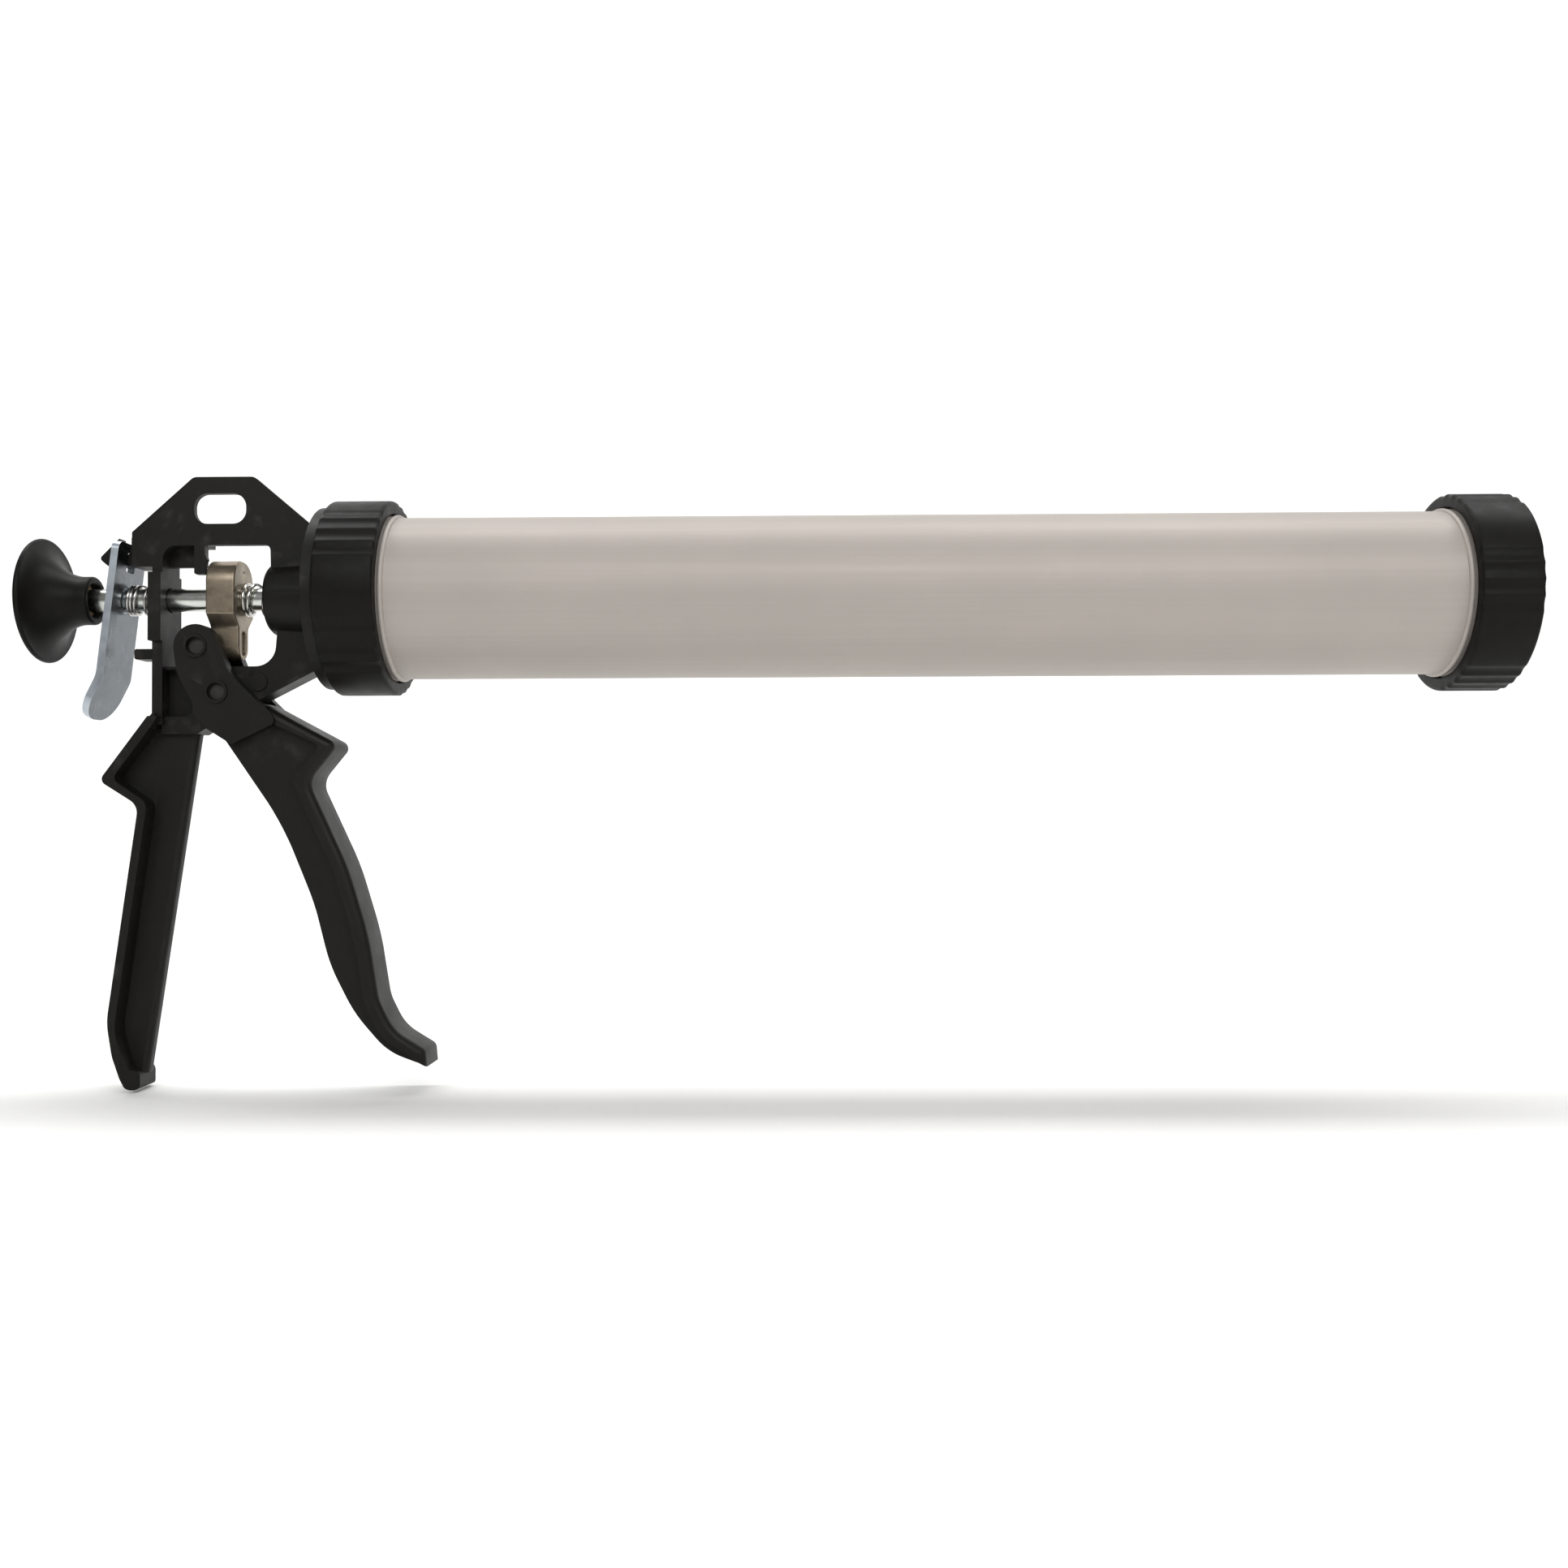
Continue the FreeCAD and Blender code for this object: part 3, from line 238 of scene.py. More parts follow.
def powder_coat():
    """Satin black-brown powder coat on a casting: orange peel, dust in the grain, rubbed edges."""
    m = Nodes("powder_coat")
    base = colours().casting
    cloud = m.spread(m.noise(38, 4), 0.3, 0.72)
    grain = m.spread(m.noise(1500, 2), 0.35, 0.7)
    colour = m.mix(cloud, shade(base, 0.86), shade(base, 1.22))
    colour = m.mix(m.math("MULTIPLY", grain, 0.18), colour, shade(base, 2.2))
    rub = m.math("MULTIPLY", m.edges(0.54, 0.62), m.spread(m.noise(160, 4), 0.5, 0.75))
    colour = m.mix(m.math("MULTIPLY", rub, 0.5), colour, (0.045, 0.042, 0.038))
    rough = m.spread(m.noise(90, 5), 0.25, 0.75, 0.40, 0.54)
    peel = m.bump(m.noise(700, 2), 0.16, 0.0002)
    fine = m.bump(m.noise(2600, 1), 0.10, 0.00006, peel)
    m.set(Specular_IOR_Level=0.2)
    return m.finish(colour, rough, fine)


def moulded_nylon(name, tint=1.0):
    """Moulded glass-filled nylon: fine spark texture, soft sheen, faint flow lines."""
    m = Nodes(name)
    base = shade(colours().moulded, tint)
    flow = m.spread(m.noise(1, 3, vector=m.stretched((30, 160, 160))), 0.3, 0.7)
    colour = m.mix(flow, shade(base, 0.88), shade(base, 1.25))
    speck = m.spread(m.noise(2100, 1), 0.64, 0.74)
    colour = m.mix(m.math("MULTIPLY", speck, 0.35), colour, shade(base, 3.0))
    rough = m.spread(m.noise(220, 4), 0.25, 0.75, 0.40, 0.52)
    spark = m.bump(m.noise(1800, 2), 0.14, 0.0001)
    m.set(Specular_IOR_Level=0.12)
    return m.finish(colour, rough, spark)


def anodised_tube():
    """Matte anodised aluminium: faint drawn lines along the tube, small dark marks, a few rubs."""
    m = Nodes("anodised_tube")
    base = colours().anodised
    drawn = m.noise(1, 4, vector=m.stretched((6, 900, 900)))
    cloud = m.spread(m.noise(22, 5), 0.25, 0.75)
    colour = m.mix(cloud, shade(base, 0.95), shade(base, 1.04))
    colour = m.mix(m.spread(drawn, 0.3, 0.7, 0.0, 0.35), colour, shade(base, 0.93))
    marks = m.spread(m.noise(1, 2, vector=m.stretched((210, 330, 330))), 0.80, 0.83)
    colour = m.mix(m.math("MULTIPLY", marks, 0.6), colour, (0.16, 0.14, 0.11))
    rub = m.spread(m.noise(1, 5, vector=m.stretched((40, 260, 260))), 0.72, 0.82)
    colour = m.mix(m.math("MULTIPLY", rub, 0.25), colour, (0.62, 0.60, 0.45))
    rough = m.spread(drawn, 0.2, 0.8, 0.46, 0.58)
    m.set(Metallic=0.25, Specular_IOR_Level=0.3)
    lines = m.bump(drawn, 0.05, 0.00005)
    return m.finish(colour, rough, m.bump(m.noise(3200, 1), 0.05, 0.00004, lines))


def plated(name, base, rough_low, rough_high, haze=1.0, lines=(400, 400, 400)):
    """Zinc plating: cloudy spangle, fine scratches and a slight blue or straw cast."""
    m = Nodes(name)
    cloud = m.spread(m.noise(120, 5), 0.3, 0.7)
    colour = m.mix(cloud, shade(base, 0.90), shade(base, 1.06))
    cast = m.spread(m.noise(45, 3), 0.45, 0.75)
    colour = m.mix(m.math("MULTIPLY", cast, 0.25 * haze), colour, shade(base, 1.25))
    scratch = m.noise(1, 3, vector=m.stretched(lines))
    rough = m.math("ADD", m.spread(m.noise(260, 4), 0.3, 0.7, rough_low, rough_high),
                   m.spread(scratch, 0.55, 0.75, 0.0, 0.08))
    m.set(Metallic=1.0)
    return m.finish(colour, rough, m.bump(scratch, 0.08, 0.00004))


def sintered_steel():
    """Sintered driver block: open grain, oiled brown-grey, brighter where it rubs."""
    m = Nodes("sintered_steel")
    base = colours().sintered
    cloud = m.spread(m.noise(85, 6), 0.3, 0.7)
    colour = m.mix(cloud, shade(base, 0.72), shade(base, 1.25))
    pores = m.spread(m.cells(1700), 0.0, 0.32)
    colour = m.mix(pores, shade(base, 0.5), colour)
    rub = m.edges(0.53, 0.60)
    colour = m.mix(m.math("MULTIPLY", rub, 0.6), colour, shade(base, 2.0))
    rough = m.spread(m.noise(300, 5), 0.3, 0.7, 0.30, 0.46)
    m.set(Metallic=0.9)
    return m.finish(colour, rough, m.bump(pores, 0.10, 0.00006))


def blackened_steel():
    m = Nodes("blackened_steel")
    cloud = m.spread(m.noise(300, 5), 0.3, 0.7)
    colour = m.mix(cloud, (0.028, 0.026, 0.024), (0.055, 0.050, 0.045))
    rough = m.spread(m.noise(900, 3), 0.3, 0.7, 0.34, 0.5)
    m.set(Metallic=0.7)
    return m.finish(colour, rough, m.bump(m.noise(1500, 2), 0.12, 0.00006))


def turned_brass():
    m = Nodes("turned_brass")
    rings = m.noise(1, 3, vector=m.stretched((2600, 60, 60)))
    colour = m.mix(m.spread(rings, 0.3, 0.7), (0.50, 0.36, 0.15), (0.68, 0.52, 0.25))
    m.set(Metallic=1.0)
    return m.finish(colour, m.spread(rings, 0.3, 0.7, 0.26, 0.40), m.bump(rings, 0.1, 0.00004))


def piston_plastic():
    m = Nodes("piston_plastic")
    cloud = m.spread(m.noise(120, 4), 0.3, 0.7)
    colour = m.mix(cloud, (0.050, 0.050, 0.052), (0.075, 0.074, 0.073))
    return m.finish(colour, m.spread(m.noise(400, 4), 0.3, 0.7, 0.42, 0.56),
                    m.bump(m.noise(1300, 2), 0.12, 0.0001))


def seal_rubber():
    m = Nodes("seal_rubber")
    cloud = m.spread(m.noise(200, 4), 0.3, 0.7)
    colour = m.mix(cloud, (0.014, 0.014, 0.014), (0.030, 0.029, 0.028))
    return m.finish(colour, m.spread(m.noise(500, 4), 0.3, 0.7, 0.58, 0.72),
                    m.bump(m.noise(1700, 2), 0.15, 0.0001))


def studio_paper():
    m = Nodes("studio_paper")
    cloud = m.spread(m.noise(3, 3), 0.3, 0.7)
    colour = m.mix(cloud, (0.86, 0.86, 0.855), (0.89, 0.89, 0.885))
    return m.finish(colour, m.spread(m.noise(40, 3), 0.3, 0.7, 0.86, 0.94))


FINISHES = {}


def finish(name):
    """Material by name, made once."""
    makers = {
        "powder_coat": powder_coat,
        "collar_nylon": lambda: moulded_nylon("collar_nylon", 1.15),
        "knob_nylon": lambda: moulded_nylon("knob_nylon", 1.0),
        "anodised_tube": anodised_tube,
        "zinc_plate": lambda: plated("zinc_plate", colours().zinc, 0.24, 0.36),
        # The same zinc made 3.2 times lighter: painted highlight for the plate's edge faces.
        "zinc_edge_painted_highlight": lambda: plated("zinc_edge_painted_highlight", shade(colours().zinc, 3.2), 0.30, 0.42),
        "zinc_rod": lambda: plated("zinc_rod", colours().rod, 0.16, 0.27, 1.6, (30, 900, 900)),
        "zinc_small": lambda: plated("zinc_small", (0.56, 0.57, 0.58), 0.24, 0.38),
        "spring_wire": lambda: plated("spring_wire", (0.52, 0.51, 0.49), 0.18, 0.30, 0.4),
        "sintered_steel": sintered_steel,
        "blackened_steel": blackened_steel,
        "turned_brass": turned_brass,
        "piston_plastic": piston_plastic,
        "seal_rubber": seal_rubber,
        "studio_paper": studio_paper,
    }
    if name not in FINISHES:
        FINISHES[name] = makers[name]()
    return FINISHES[name]


# ------------------------------------------------------------------ mesh helpers

def new_piece(name, mesh, material):
    piece = bpy.data.objects.new(name, mesh)
    bpy.context.scene.collection.objects.link(piece)
    mesh.materials.clear()
    mesh.materials.append(finish(material))
    return piece


def rounded(corners, steps=5):
    """Outline through corners (x, y, radius), each radius turned in a few steps."""
    points = []
    count = len(corners)
    for index, (x, y, radius) in enumerate(corners):
        corner = Vector((x, y))
        if radius == 0:
            points.append(corner)
            continue
        before = (Vector(corners[index - 1][:2]) - corner).normalized()
        after = (Vector(corners[(index + 1) % count][:2]) - corner).normalized()
        half = before.angle(after) / 2
        centre = corner + (before + after).normalized() * (radius / math.sin(half))
        start = corner + before * (radius / math.tan(half)) - centre
        end = corner + after * (radius / math.tan(half)) - centre
        sweep = start.angle_signed(end)
        for step in range(steps + 1):
            turn = -sweep * step / steps
            points.append(centre + Matrix.Rotation(turn, 2) @ start)
    return points


def lathe(name, profile, material, steps=None, closed=True, sharp=35):
    """Turned piece about X from a profile of (x, radius); a point on the axis is a pole."""
    steps = steps or sizes().lathe_steps
    bm = bmesh.new()
    rings = []
    for x, radius in profile:
        if radius < 1e-7:
            rings.append([bm.verts.new((x, 0, 0))])
            continue
        ring = []
        for step in range(steps):
            angle = 2 * math.pi * step / steps
            ring.append(bm.verts.new((x, radius * math.sin(angle), radius * math.cos(angle))))
        rings.append(ring)
    pairs = list(zip(rings, rings[1:]))
    if closed:
        pairs.append((rings[-1], rings[0]))
    for first, second in pairs:
        if len(first) == 1 and len(second) == 1:
            continue
        for step in range(steps):
            following = (step + 1) % steps
            corners = [first[step % len(first)], second[step % len(second)],
                       second[following % len(second)], first[following % len(first)]]
            bm.faces.new(list(dict.fromkeys(corners)))
    bmesh.ops.recalc_face_normals(bm, faces=bm.faces)
    mesh = bpy.data.meshes.new(name)
    bm.to_mesh(mesh)
    bm.free()
    mesh.shade_smooth()
    mesh.set_sharp_from_angle(angle=math.radians(sharp))
    return new_piece(name, mesh, material)


def settle(piece):
    """Turns a piece's modifiers into its own plain mesh."""
    graph = bpy.context.evaluated_depsgraph_get()
    mesh = bpy.data.meshes.new_from_object(piece.evaluated_get(graph))
    materials = [slot for slot in piece.data.materials]
    piece.modifiers.clear()
    piece.data = mesh
    if not mesh.materials:
        for material in materials:
            mesh.materials.append(material)
    return piece


def eased_copy(node, name, material, width, segments=3, angle=32):
    """A CAD node's solid with its seams joined and its edges eased."""
    bm = bmesh.new()
    bm.from_mesh(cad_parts[node].data)
    bmesh.ops.remove_doubles(bm, verts=bm.verts, dist=2e-6)
    bmesh.ops.dissolve_limit(bm, angle_limit=math.radians(1.0), verts=bm.verts, edges=bm.edges)
    mesh = bpy.data.meshes.new(name)
    bm.to_mesh(mesh)
    bm.free()
    mesh.shade_smooth()
    mesh.set_sharp_from_angle(angle=math.radians(angle))
    piece = new_piece(name, mesh, material)
    bevel = piece.modifiers.new("eased edges", "BEVEL")
    bevel.limit_method = "ANGLE"
    bevel.angle_limit = math.radians(angle)
    bevel.width = width
    bevel.segments = segments
    bevel.harden_normals = True
    bevel.use_clamp_overlap = True
    settle(piece)
    return piece


# ------------------------------------------------------------------ geometry nodes

class Geometry:
    """A geometry node group with named inputs and short calls for its math."""

    def __init__(self, name, inputs):
        self.group = bpy.data.node_groups.new(name, "GeometryNodeTree")
        face = self.group.interface
        face.new_socket("Geometry", in_out="INPUT", socket_type="NodeSocketGeometry")
        self.names = {}
        for label, default in inputs.items():
            kind = "NodeSocketInt" if isinstance(default, int) else "NodeSocketFloat"
            if default is None:
                kind = "NodeSocketMaterial"
            socket = face.new_socket(label, in_out="INPUT", socket_type=kind)
            if default is not None:
                socket.default_value = default
            self.names[label] = socket.identifier
        face.new_socket("Geometry", in_out="OUTPUT", socket_type="NodeSocketGeometry")
        self.entry = self.group.nodes.new("NodeGroupInput")
        self.exit = self.group.nodes.new("NodeGroupOutput")

    def node(self, kind, **settings):
        made = self.group.nodes.new(kind)
        for name, value in settings.items():
            setattr(made, name, value)
        return made

    def link(self, source, target):
        self.group.links.new(source, target)

    def value(self, label):
        return self.entry.outputs[label]

    def math(self, operation, *values):
        made = self.node("ShaderNodeMath", operation=operation)
        for value, socket in zip(values, made.inputs):
            if isinstance(value, bpy.types.NodeSocket):
                self.link(value, socket)
            else:
                socket.default_value = value
        return made.outputs[0]

    def end(self, geometry):
        """Realizes, gives the material and closes the tree."""
        realize = self.node("GeometryNodeRealizeInstances")
        paint = self.node("GeometryNodeSetMaterial")
        self.link(geometry, realize.inputs[0])
        self.link(realize.outputs[0], paint.inputs["Geometry"])
        self.link(self.value("Material"), paint.inputs["Material"])
        self.link(paint.outputs[0], self.exit.inputs["Geometry"])

    def apply(self, piece, **values):
        modifier = piece.modifiers.new(self.group.name, "NODES")
        modifier.node_group = self.group
        for label, value in values.items():
            modifier[self.names[label.replace("_", " ")]] = value
        settle(piece)


def flute_tree():
    """Presses groups of shallow round flutes into the outer wall of a collar."""
    g = Geometry("collar_flutes", {
        "Outer Radius": 0.03, "Flute Depth": 0.0008, "Flute Width": 0.075, "Flute Step": 0.16,
        "Flutes": 4, "Groups": 5, "Turn": 0.0, "Low X": 0.0, "High X": 1.0, "Material": None})
    place = g.node("GeometryNodeInputPosition").outputs[0]
    parts = g.node("ShaderNodeSeparateXYZ")
    g.link(place, parts.inputs[0])
    x, y, z = parts.outputs
    angle = g.math("ADD", g.math("ARCTAN2", z, g.math("MULTIPLY", y, -1.0)), g.value("Turn"))
    sector = g.math("DIVIDE", 2 * math.pi, g.value("Groups"))
    half = g.math("DIVIDE", sector, 2.0)
    local = g.math("WRAP", angle, half, g.math("MULTIPLY", half, -1.0))
    steps = g.math("DIVIDE", local, g.value("Flute Step"))
    nearest = g.math("ADD", g.math("FLOOR", steps), 0.5)
    last = g.math("SUBTRACT", g.math("DIVIDE", g.value("Flutes"), 2.0), 0.5)
    nearest = g.math("MINIMUM", nearest, last)
    nearest = g.math("MAXIMUM", nearest, g.math("MULTIPLY", last, -1.0))
    off = g.math("MULTIPLY", g.math("SUBTRACT", steps, nearest), g.value("Flute Step"))
    share = g.math("DIVIDE", off, g.value("Flute Width"))
    dip = g.math("MAXIMUM", g.math("SUBTRACT", 1.0, g.math("MULTIPLY", share, share)), 0.0)
    dip = g.math("MULTIPLY", dip, g.math("POWER", dip, 0.25))
    radius = g.math("SQRT", g.math("ADD", g.math("MULTIPLY", y, y), g.math("MULTIPLY", z, z)))
    skin = g.math("SUBTRACT", g.value("Outer Radius"), 0.0022)
    weight = g.math("DIVIDE", g.math("SUBTRACT", radius, skin), 0.0012)
    weight = g.math("MINIMUM", g.math("MAXIMUM", weight, 0.0), 1.0)
    cut = g.math("MULTIPLY", g.math("MULTIPLY", dip, weight), g.value("Flute Depth"))
    scale = g.math("DIVIDE", g.math("SUBTRACT", radius, cut), g.math("MAXIMUM", radius, 1e-6))
    join = g.node("ShaderNodeCombineXYZ")
    g.link(x, join.inputs[0])
    g.link(g.math("MULTIPLY", y, scale), join.inputs[1])
    g.link(g.math("MULTIPLY", z, scale), join.inputs[2])
    move = g.node("GeometryNodeSetPosition")
    g.link(g.value("Geometry"), move.inputs["Geometry"])
    g.link(join.outputs[0], move.inputs["Position"])
    g.end(move.outputs[0])
    return g


def spring_tree():
    """Round-wire compression spring along X with closed end coils."""
    g = Geometry("compression_spring", {
        "Start": 0.0, "End": 0.02, "Coil Radius": 0.005, "Wire Radius": 0.0005, "Turns": 6.0,
        "First Closed": 1.5, "Last Closed": 1.0, "Tilt": 0.0, "Points": 400, "Material": None})
    line = g.node("GeometryNodeCurvePrimitiveLine")
    points = g.node("GeometryNodeResampleCurve")
    g.link(line.outputs[0], points.inputs["Curve"])
    g.link(g.value("Points"), points.inputs["Count"])
    along = g.node("GeometryNodeSplineParameter").outputs["Factor"]
    turns = g.value("Turns")
    turned = g.math("MULTIPLY", along, turns)
    wire = g.math("MULTIPLY", g.value("Wire Radius"), 2.04)
    first = g.math("MINIMUM", turned, g.value("First Closed"))
    open_end = g.math("SUBTRACT", turns, g.value("Last Closed"))
    last = g.math("MAXIMUM", g.math("SUBTRACT", turned, open_end), 0.0)
    middle = g.math("SUBTRACT", g.math("SUBTRACT", turned, first), last)
    closed = g.math("ADD", g.value("First Closed"), g.value("Last Closed"))
    free = g.math("SUBTRACT", g.math("SUBTRACT", g.value("End"), g.value("Start")), wire)
    room = g.math("SUBTRACT", free, g.math("MULTIPLY", closed, wire))
    pitch = g.math("DIVIDE", room, g.math("SUBTRACT", turns, closed))
    shut = g.math("MULTIPLY", g.math("ADD", first, last), wire)
    x = g.math("ADD", g.value("Start"), g.math("MULTIPLY", wire, 0.5))
    x = g.math("ADD", x, g.math("ADD", shut, g.math("MULTIPLY", middle, pitch)))
    angle = g.math("MULTIPLY", turned, 2 * math.pi)
    y = g.math("MULTIPLY", g.math("SINE", angle), g.value("Coil Radius"))
    z = g.math("MULTIPLY", g.math("COSINE", angle), g.value("Coil Radius"))
    fade = g.math("SUBTRACT", 1.0, along)
    lean = g.math("MULTIPLY", g.math("MULTIPLY", z, g.value("Tilt")), fade)
    join = g.node("ShaderNodeCombineXYZ")
    g.link(g.math("ADD", x, lean), join.inputs[0])
    g.link(y, join.inputs[1])
    g.link(z, join.inputs[2])
    move = g.node("GeometryNodeSetPosition")
    g.link(points.outputs[0], move.inputs["Geometry"])
    g.link(join.outputs[0], move.inputs["Position"])
    ring = g.node("GeometryNodeCurvePrimitiveCircle")
    ring.inputs["Resolution"].default_value = 14
    g.link(g.value("Wire Radius"), ring.inputs["Radius"])
    sweep = g.node("GeometryNodeCurveToMesh")
    g.link(move.outputs[0], sweep.inputs["Curve"])
    g.link(ring.outputs[0], sweep.inputs["Profile Curve"])
    sweep.inputs["Fill Caps"].default_value = True
    smooth = g.node("GeometryNodeSetShadeSmooth")
    g.link(sweep.outputs[0], smooth.inputs["Geometry"])
    g.end(smooth.outputs[0])
    return g


# ------------------------------------------------------------------ operators

def place(piece, body, slot, *nodes):
    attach(piece, body)
    if nodes:
        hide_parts(*nodes)


class OBJECT_OT_gun_frame(bpy.types.Operator):
    """Cast frame with its roof, wall, boss, disc and pistol handle"""
    bl_idname = "object.gun_frame"
    bl_label = "Frame casting"

    def execute(self, context):
        casting = eased_copy("frame_casting", "frame_skin", "powder_coat", sizes().casting_edge)
        place(casting, "frame", "casting", "frame_casting")
        return {"FINISHED"}


class OBJECT_OT_gun_trigger(bpy.types.Operator):
    """Cast trigger and the two steel pins"""
    bl_idname = "object.gun_trigger"
    bl_label = "Trigger and pins"

    def execute(self, context):
        casting = eased_copy("trigger", "trigger_skin", "powder_coat", sizes().casting_edge)
        place(casting, "trigger", "casting", "trigger")
        for node in ("pivot_pin", "thrust_pin"):
            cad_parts[node].data.materials[0] = finish("blackened_steel")
        return {"FINISHED"}


class OBJECT_OT_gun_barrel(bpy.types.Operator):
    """Barrel tube with the rolled thread at each end"""
    bl_idname = "object.gun_barrel"
    bl_label = "Barrel tube"

    def execute(self, context):
        s = sizes()
        low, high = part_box("barrel_tube")
        outer = s.tube_radius
        inner = outer - s.tube_wall
        rim = 0.4 * MM
        thread_turns = 5
        bead_steps = 12
        rear_thread = (-374.6 - 12.0) * MM
        front_thread = -21.3 * MM
        profile = [(low.x + rim, inner), (low.x, inner + rim), (low.x, outer - rim),
                   (low.x + rim, outer)]
        beads = [start + turn * s.bead_pitch for start in (rear_thread, front_thread)
                 for turn in range(thread_turns)]
        for middle in beads:
            for step in range(bead_steps + 1):
                swing = math.pi * step / bead_steps
                profile.append((middle - s.bead_height * math.cos(swing),
                                outer + s.bead_height * math.sin(swing)))
        profile += [(high.x - rim, outer), (high.x, outer - rim), (high.x, inner + rim),
                    (high.x - rim, inner)]
        tube = lathe("tube_skin", profile, "anodised_tube", steps=256, sharp=50)
        place(tube, "frame", "tube", "barrel_tube")
        return {"FINISHED"}


class OBJECT_OT_gun_collars(bpy.types.Operator):
    """Two screwed collars with groups of grip flutes"""
    bl_idname = "object.gun_collars"
    bl_label = "Collars"

    def execute(self, context):
        s = sizes()
        tree = flute_tree()
        outer = 33.2 * MM
        bore = 28.75 * MM
        nozzle_hole = 20.0 * MM
        edge = s.collar_edge
        soft = 0.4 * MM
        for node, lip, turn in (("rear_collar", 0.0, 36.0), ("front_collar", 3.0 * MM, 0.0)):
            low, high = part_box(node)
            inside = nozzle_hole if lip else bore
            corners = [(low.x, bore, 0.5 * MM), (low.x, outer, edge), (high.x, outer, edge),
                       (high.x, inside, soft)]
            if lip:
                corners += [(high.x - lip, inside, soft), (high.x - lip, bore, 0.6 * MM)]
            collar = lathe(node + "_skin", rounded(corners), "collar_nylon", steps=720)
            tree.apply(collar, Outer_Radius=outer, Flute_Depth=s.flute_depth,
                       Flute_Step=s.flute_step, Groups=s.flute_groups, Turn=math.radians(turn),
                       Material=finish("collar_nylon"))
            place(collar, node, "collar", node)
        return {"FINISHED"}


class OBJECT_OT_gun_rod(bpy.types.Operator):
    """Thrust rod, pull knob and the hidden parts on the rod"""
    bl_idname = "object.gun_rod"
    bl_label = "Rod and knob"

    def execute(self, context):
        low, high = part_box("thrust_rod")
        radius = 4.0 * MM
        end = 3.0 * MM
        shoulder = -27.6 * MM
        corners = [(low.x, 0, 0), (low.x, radius, 0.5 * MM), (shoulder, radius, 0.3 * MM),
                   (shoulder, end, 0), (high.x, end, 0.7 * MM), (high.x, 0, 0)]
        rod = lathe("rod_skin", rounded(corners, 3), "zinc_rod", steps=96, closed=False)
        place(rod, "rod", "rod", "thrust_rod")
        self.knob()
        small = {"knob_insert": "turned_brass", "rear_washer": "zinc_small",
                 "front_washer": "zinc_small", "lock_washer": "zinc_small",
                 "piston_nut": "zinc_small", "rod_bush": "turned_brass"}
        for node, name in small.items():
            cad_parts[node].data.materials[0] = finish(name)
        return {"FINISHED"}

    def knob(self):
        """Straight neck, trumpet flare, rounded rim and a low dome."""
        low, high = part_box("pull_knob")
        face = high.x
        neck = 8.3 * MM
        rim = high.y
        recess = 6.0 * MM
        hole = 5.65 * MM
        seat = -483.2 * MM
        floor = -498.5 * MM
        ease = 0.5 * MM
        shoulder = 0.9 * MM
        profile = [(floor, 0), (floor, hole), (seat, hole), (seat, recess), (face - ease, recess),
                   (face, recess + ease)]
        for step in range(5):
            turn = math.pi / 2 * step / 4
            profile.append((face - shoulder * (1 - math.cos(turn)),
                            neck - shoulder * (1 - math.sin(turn))))
        flare_start = face - 3.6 * MM
        flare_end = face - 16.4 * MM
        for step in range(25):
            share = step / 24
            x = flare_start + (flare_end - flare_start) * math.sin(share * math.pi / 2) ** 1.05
            grow = 1 - math.cos(share * math.pi / 2)
            profile.append((x, neck + (rim - 0.55 * MM - neck) * grow ** 0.92))
        lip = 0.75 * MM
        for step in range(1, 8):
            turn = math.pi * step / 8
            profile.append((flare_end - shoulder + shoulder * math.cos(turn),
                            rim - lip + lip * math.sin(turn)))
        edge_radius = rim - shoulder
        rise = flare_end - 1.8 * MM - low.x
        dome = (rise ** 2 + edge_radius ** 2) / (2 * rise)
        top = math.asin(edge_radius / dome)
        for step in range(19):
            turn = top * (1 - step / 18)
            profile.append((low.x + dome - dome * math.cos(turn), dome * math.sin(turn)))
        knob = lathe("knob_skin", profile, "knob_nylon", steps=160, closed=False)
        place(knob, "rod", "knob", "pull_knob")


class OBJECT_OT_gun_piston(bpy.types.Operator):
    """Piston cup and its seal ring, inside the barrel"""
    bl_idname = "object.gun_piston"
    bl_label = "Piston"

    def execute(self, context):
        cup = eased_copy("piston_body", "piston_skin", "piston_plastic", 0.0003, 2)
        place(cup, "piston", "piston", "piston_body")
        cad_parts["piston_seal"].data.materials[0] = finish("seal_rubber")
        return {"FINISHED"}


class OBJECT_OT_gun_driver(bpy.types.Operator):
    """Driver block that the trigger pushes along the rod"""
    bl_idname = "object.gun_driver"
    bl_label = "Driver block"

    def execute(self, context):
        block = eased_copy("driver_block", "driver_skin", "sintered_steel", 0.0003, 2, 40)
        place(block, "driver", "driver", "driver_block")
        return {"FINISHED"}


class OBJECT_OT_gun_plate(bpy.types.Operator):
    """Bent release plate"""
    bl_idname = "object.gun_plate"
    bl_label = "Release plate"

    def execute(self, context):
        plate = eased_copy("release_plate", "plate_skin", "zinc_plate", 0.0003, 2)
        plate.data.materials.append(finish("zinc_edge_painted_highlight"))
        # Faces turned to the sides and faces turned up get the lighter zinc copy: a painted
        # highlight along the plate's edges.
        for face in plate.data.polygons:
            if abs(face.normal.y) > 0.3 or face.normal.z > 0.8:
                face.material_index = 1
        place(plate, "release", "plate", "release_plate")
        return {"FINISHED"}


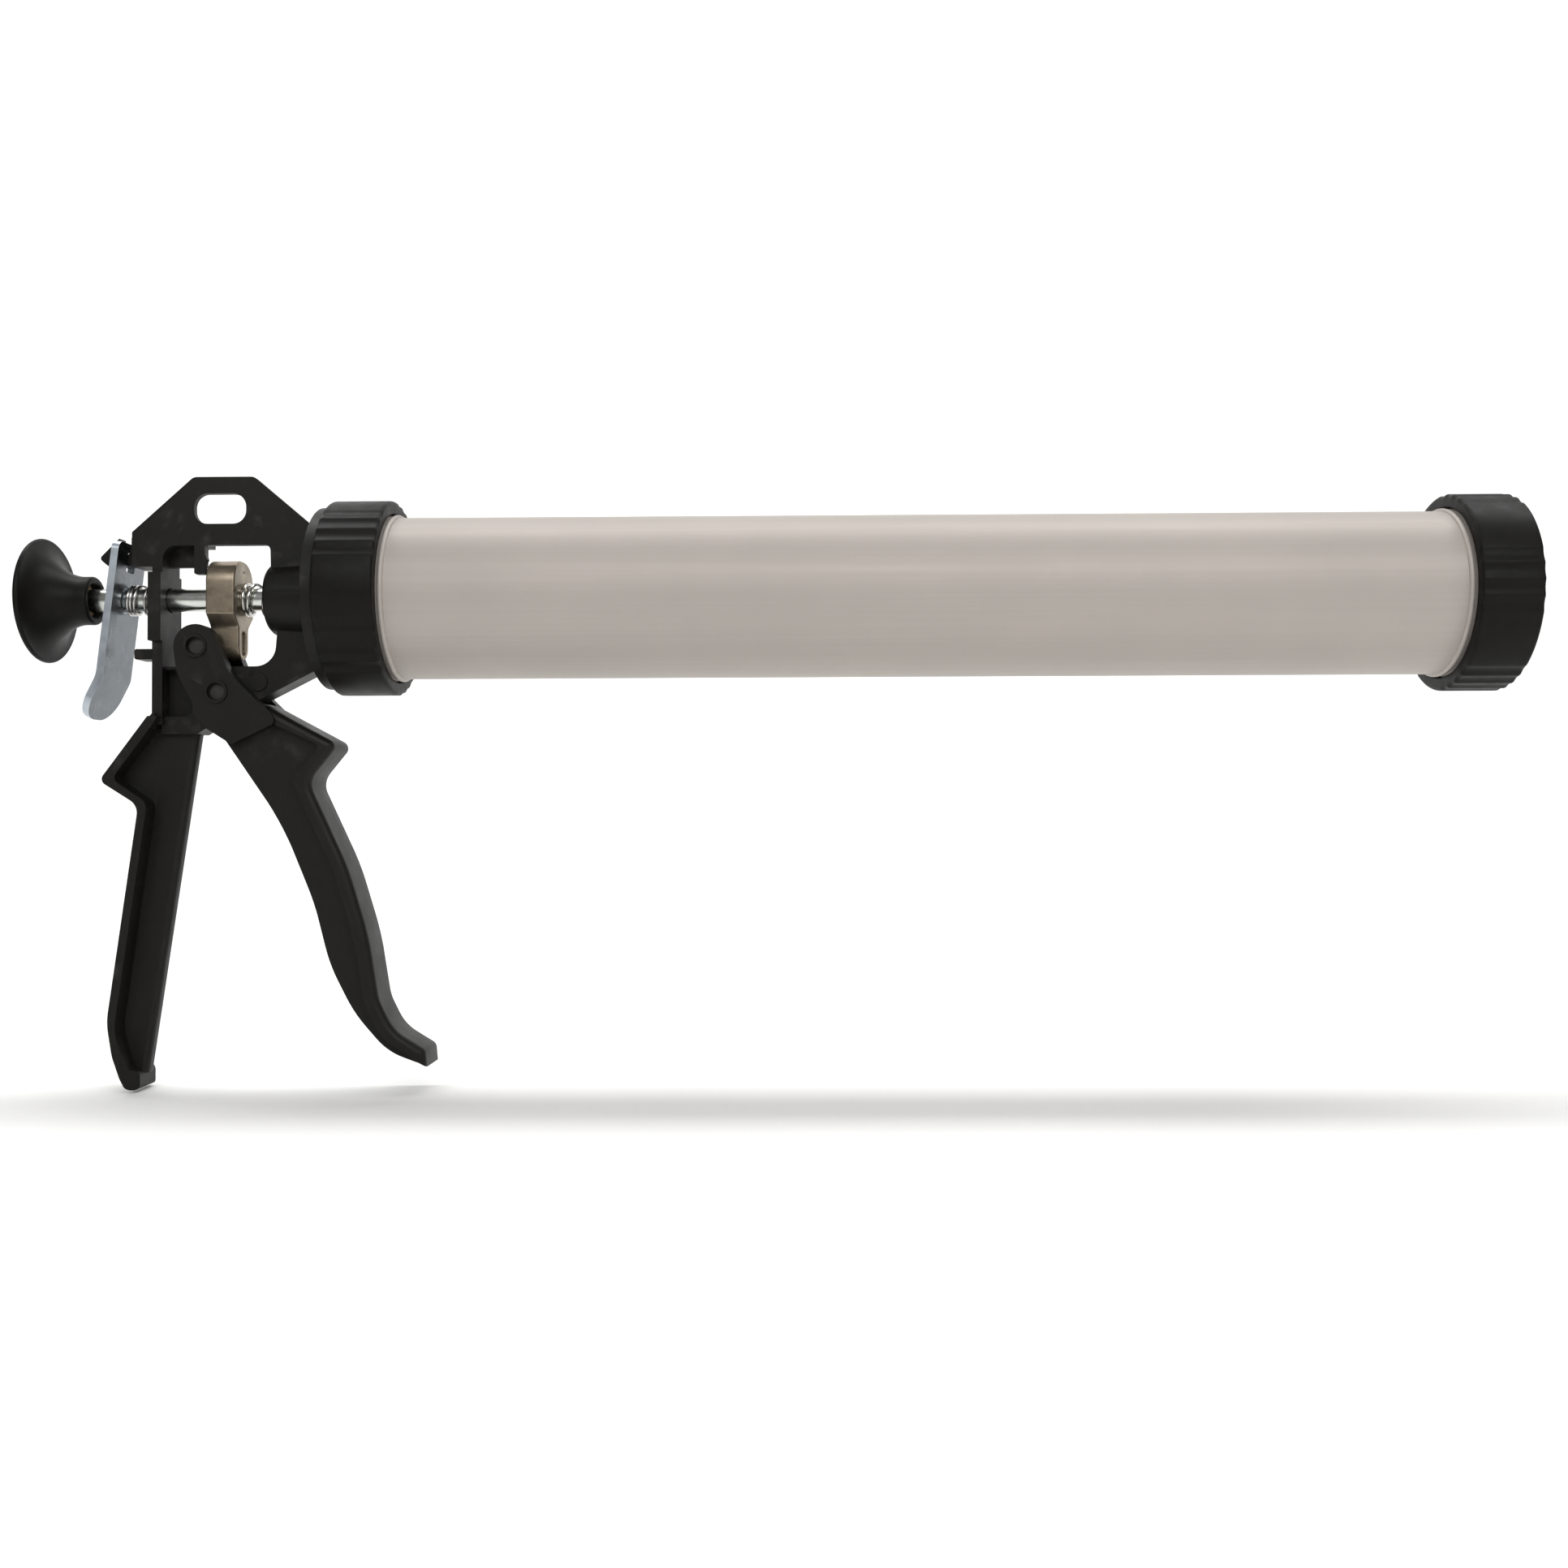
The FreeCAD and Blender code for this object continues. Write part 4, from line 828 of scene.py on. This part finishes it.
class OBJECT_OT_gun_springs(bpy.types.Operator):
    """Driver spring and release spring"""
    bl_idname = "object.gun_springs"
    bl_label = "Springs"

    def execute(self, context):
        tree = spring_tree()
        for node, body, coil, wire, turns, first, last, tilt in (
                ("driver_spring", "driver", 5.25, 0.6, 6.0, 1.6, 0.6, 0.0),
                ("release_spring", "release", 4.9, 0.5, 4.6, 2.6, 0.4, 0.119)):
            low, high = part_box(node)
            mesh = bpy.data.meshes.new(node + "_skin")
            spring = new_piece(node + "_skin", mesh, "spring_wire")
            tree.apply(spring, Start=low.x, End=high.x, Coil_Radius=coil * MM,
                       Wire_Radius=wire * MM, Turns=turns, First_Closed=first, Last_Closed=last,
                       Tilt=tilt, Material=finish("spring_wire"))
            place(spring, body, "spring", node)
        return {"FINISHED"}


class OBJECT_OT_gun_stage(bpy.types.Operator):
    """Camera, soft lights and the pale floor"""
    bl_idname = "object.gun_stage"
    bl_label = "Stage"

    def execute(self, context):
        self.camera()
        self.floor()
        self.lights()
        return {"FINISHED"}

    def camera(self):
        data = bpy.data.cameras.new("camera")
        data.sensor_width = 36.0
        data.lens = 34.097
        data.clip_start = 0.01
        camera = bpy.data.objects.new("camera", data)
        camera.location = (-0.2365, -0.50738, -0.07311)
        yaw, pitch, roll = 0.014, 0.01788, -0.0037
        turn = Matrix.Rotation(yaw, 3, "Z") @ Matrix.Rotation(math.pi / 2 + pitch, 3, "X")
        camera.rotation_euler = (turn @ Matrix.Rotation(roll, 3, "Z")).to_euler()
        bpy.context.scene.collection.objects.link(camera)
        bpy.context.scene.camera = camera

    def floor(self):
        """Seamless paper: a flat sheet that curves up behind the gun."""
        ground = CAD_BOX[0].z - 0.001
        reach = 4.0
        back = 1.6
        bend = 0.9
        steps = 16
        profile = [(-reach, ground), (back - bend, ground)]
        for step in range(1, steps + 1):
            turn = math.pi / 2 * step / steps
            profile.append((back - bend + bend * math.sin(turn),
                            ground + bend * (1 - math.cos(turn))))
        profile.append((back, ground + 3.0))
        bm = bmesh.new()
        rows = [[bm.verts.new((x - 0.25, y, z)) for y, z in profile] for x in (-reach, reach)]
        for index in range(len(profile) - 1):
            bm.faces.new((rows[0][index], rows[1][index], rows[1][index + 1], rows[0][index + 1]))
        mesh = bpy.data.meshes.new("paper")
        bm.to_mesh(mesh)
        bm.free()
        mesh.shade_smooth()
        paper = new_piece("paper", mesh, "studio_paper")

    def lights(self):
        scene = bpy.context.scene
        scene.view_settings.view_transform = "Standard"
        world = bpy.data.worlds.new("studio")
        world.use_nodes = True
        sky = world.node_tree.nodes["Background"]
        sky.inputs["Color"].default_value = (1.0, 0.985, 0.965, 1)
        sky.inputs["Strength"].default_value = 0.20
        scene.world = world
        middle = Vector((-0.25, 0, 0))
        sweep = Vector((-0.25, 1.3, 0.2))
        for name, spot, width, height, power, aim in (
                ("key", (-0.15, -0.95, 0.55), 1.5, 0.4, 9.0, middle),
                ("fill", (0.75, -0.9, 0.10), 0.7, 0.9, 1.0, middle),
                ("rim", (-0.9, 0.5, 0.6), 0.7, 0.5, 0.5, middle),
                ("backdrop", (-0.25, 0.35, 1.6), 3.0, 0.6, 44.0, sweep)):
            data = bpy.data.lights.new(name, "AREA")
            data.shape = "RECTANGLE"
            data.size = width
            data.size_y = height
            data.energy = power
            lamp = bpy.data.objects.new(name, data)
            lamp.location = spot
            lamp.rotation_euler = (aim - Vector(spot)).to_track_quat("-Z", "Y").to_euler()
            scene.collection.objects.link(lamp)


class VIEW3D_PT_gun(bpy.types.Panel):
    """Lists the gun's operators"""
    bl_label = "Caulking Gun"
    bl_idname = "VIEW3D_PT_gun"
    bl_space_type = "VIEW_3D"
    bl_region_type = "UI"
    bl_category = "Caulking Gun"

    def draw(self, context):
        column = self.layout.column()
        for operator in OPERATORS:
            column.operator(operator.bl_idname)
        for group in (context.scene.gun_sizes, context.scene.gun_colours):
            for name in group.bl_rna.properties.keys():
                if name not in ("rna_type", "name"):
                    column.prop(group, name)


OPERATORS = (OBJECT_OT_gun_frame, OBJECT_OT_gun_trigger, OBJECT_OT_gun_barrel,
             OBJECT_OT_gun_collars, OBJECT_OT_gun_rod, OBJECT_OT_gun_piston,
             OBJECT_OT_gun_driver, OBJECT_OT_gun_plate, OBJECT_OT_gun_springs,
             OBJECT_OT_gun_stage)
CLASSES = (GunSizes, GunColours) + OPERATORS + (VIEW3D_PT_gun,)


def register():
    for cls in CLASSES:
        bpy.utils.register_class(cls)
    bpy.types.Scene.gun_sizes = bpy.props.PointerProperty(type=GunSizes)
    bpy.types.Scene.gun_colours = bpy.props.PointerProperty(type=GunColours)


def unregister():
    del bpy.types.Scene.gun_colours
    del bpy.types.Scene.gun_sizes
    for cls in reversed(CLASSES):
        bpy.utils.unregister_class(cls)


def main():
    register()
    for operator in OPERATORS:
        family, name = operator.bl_idname.split(".")
        getattr(getattr(bpy.ops, family), name)()


if __name__ == "__main__":
    main()
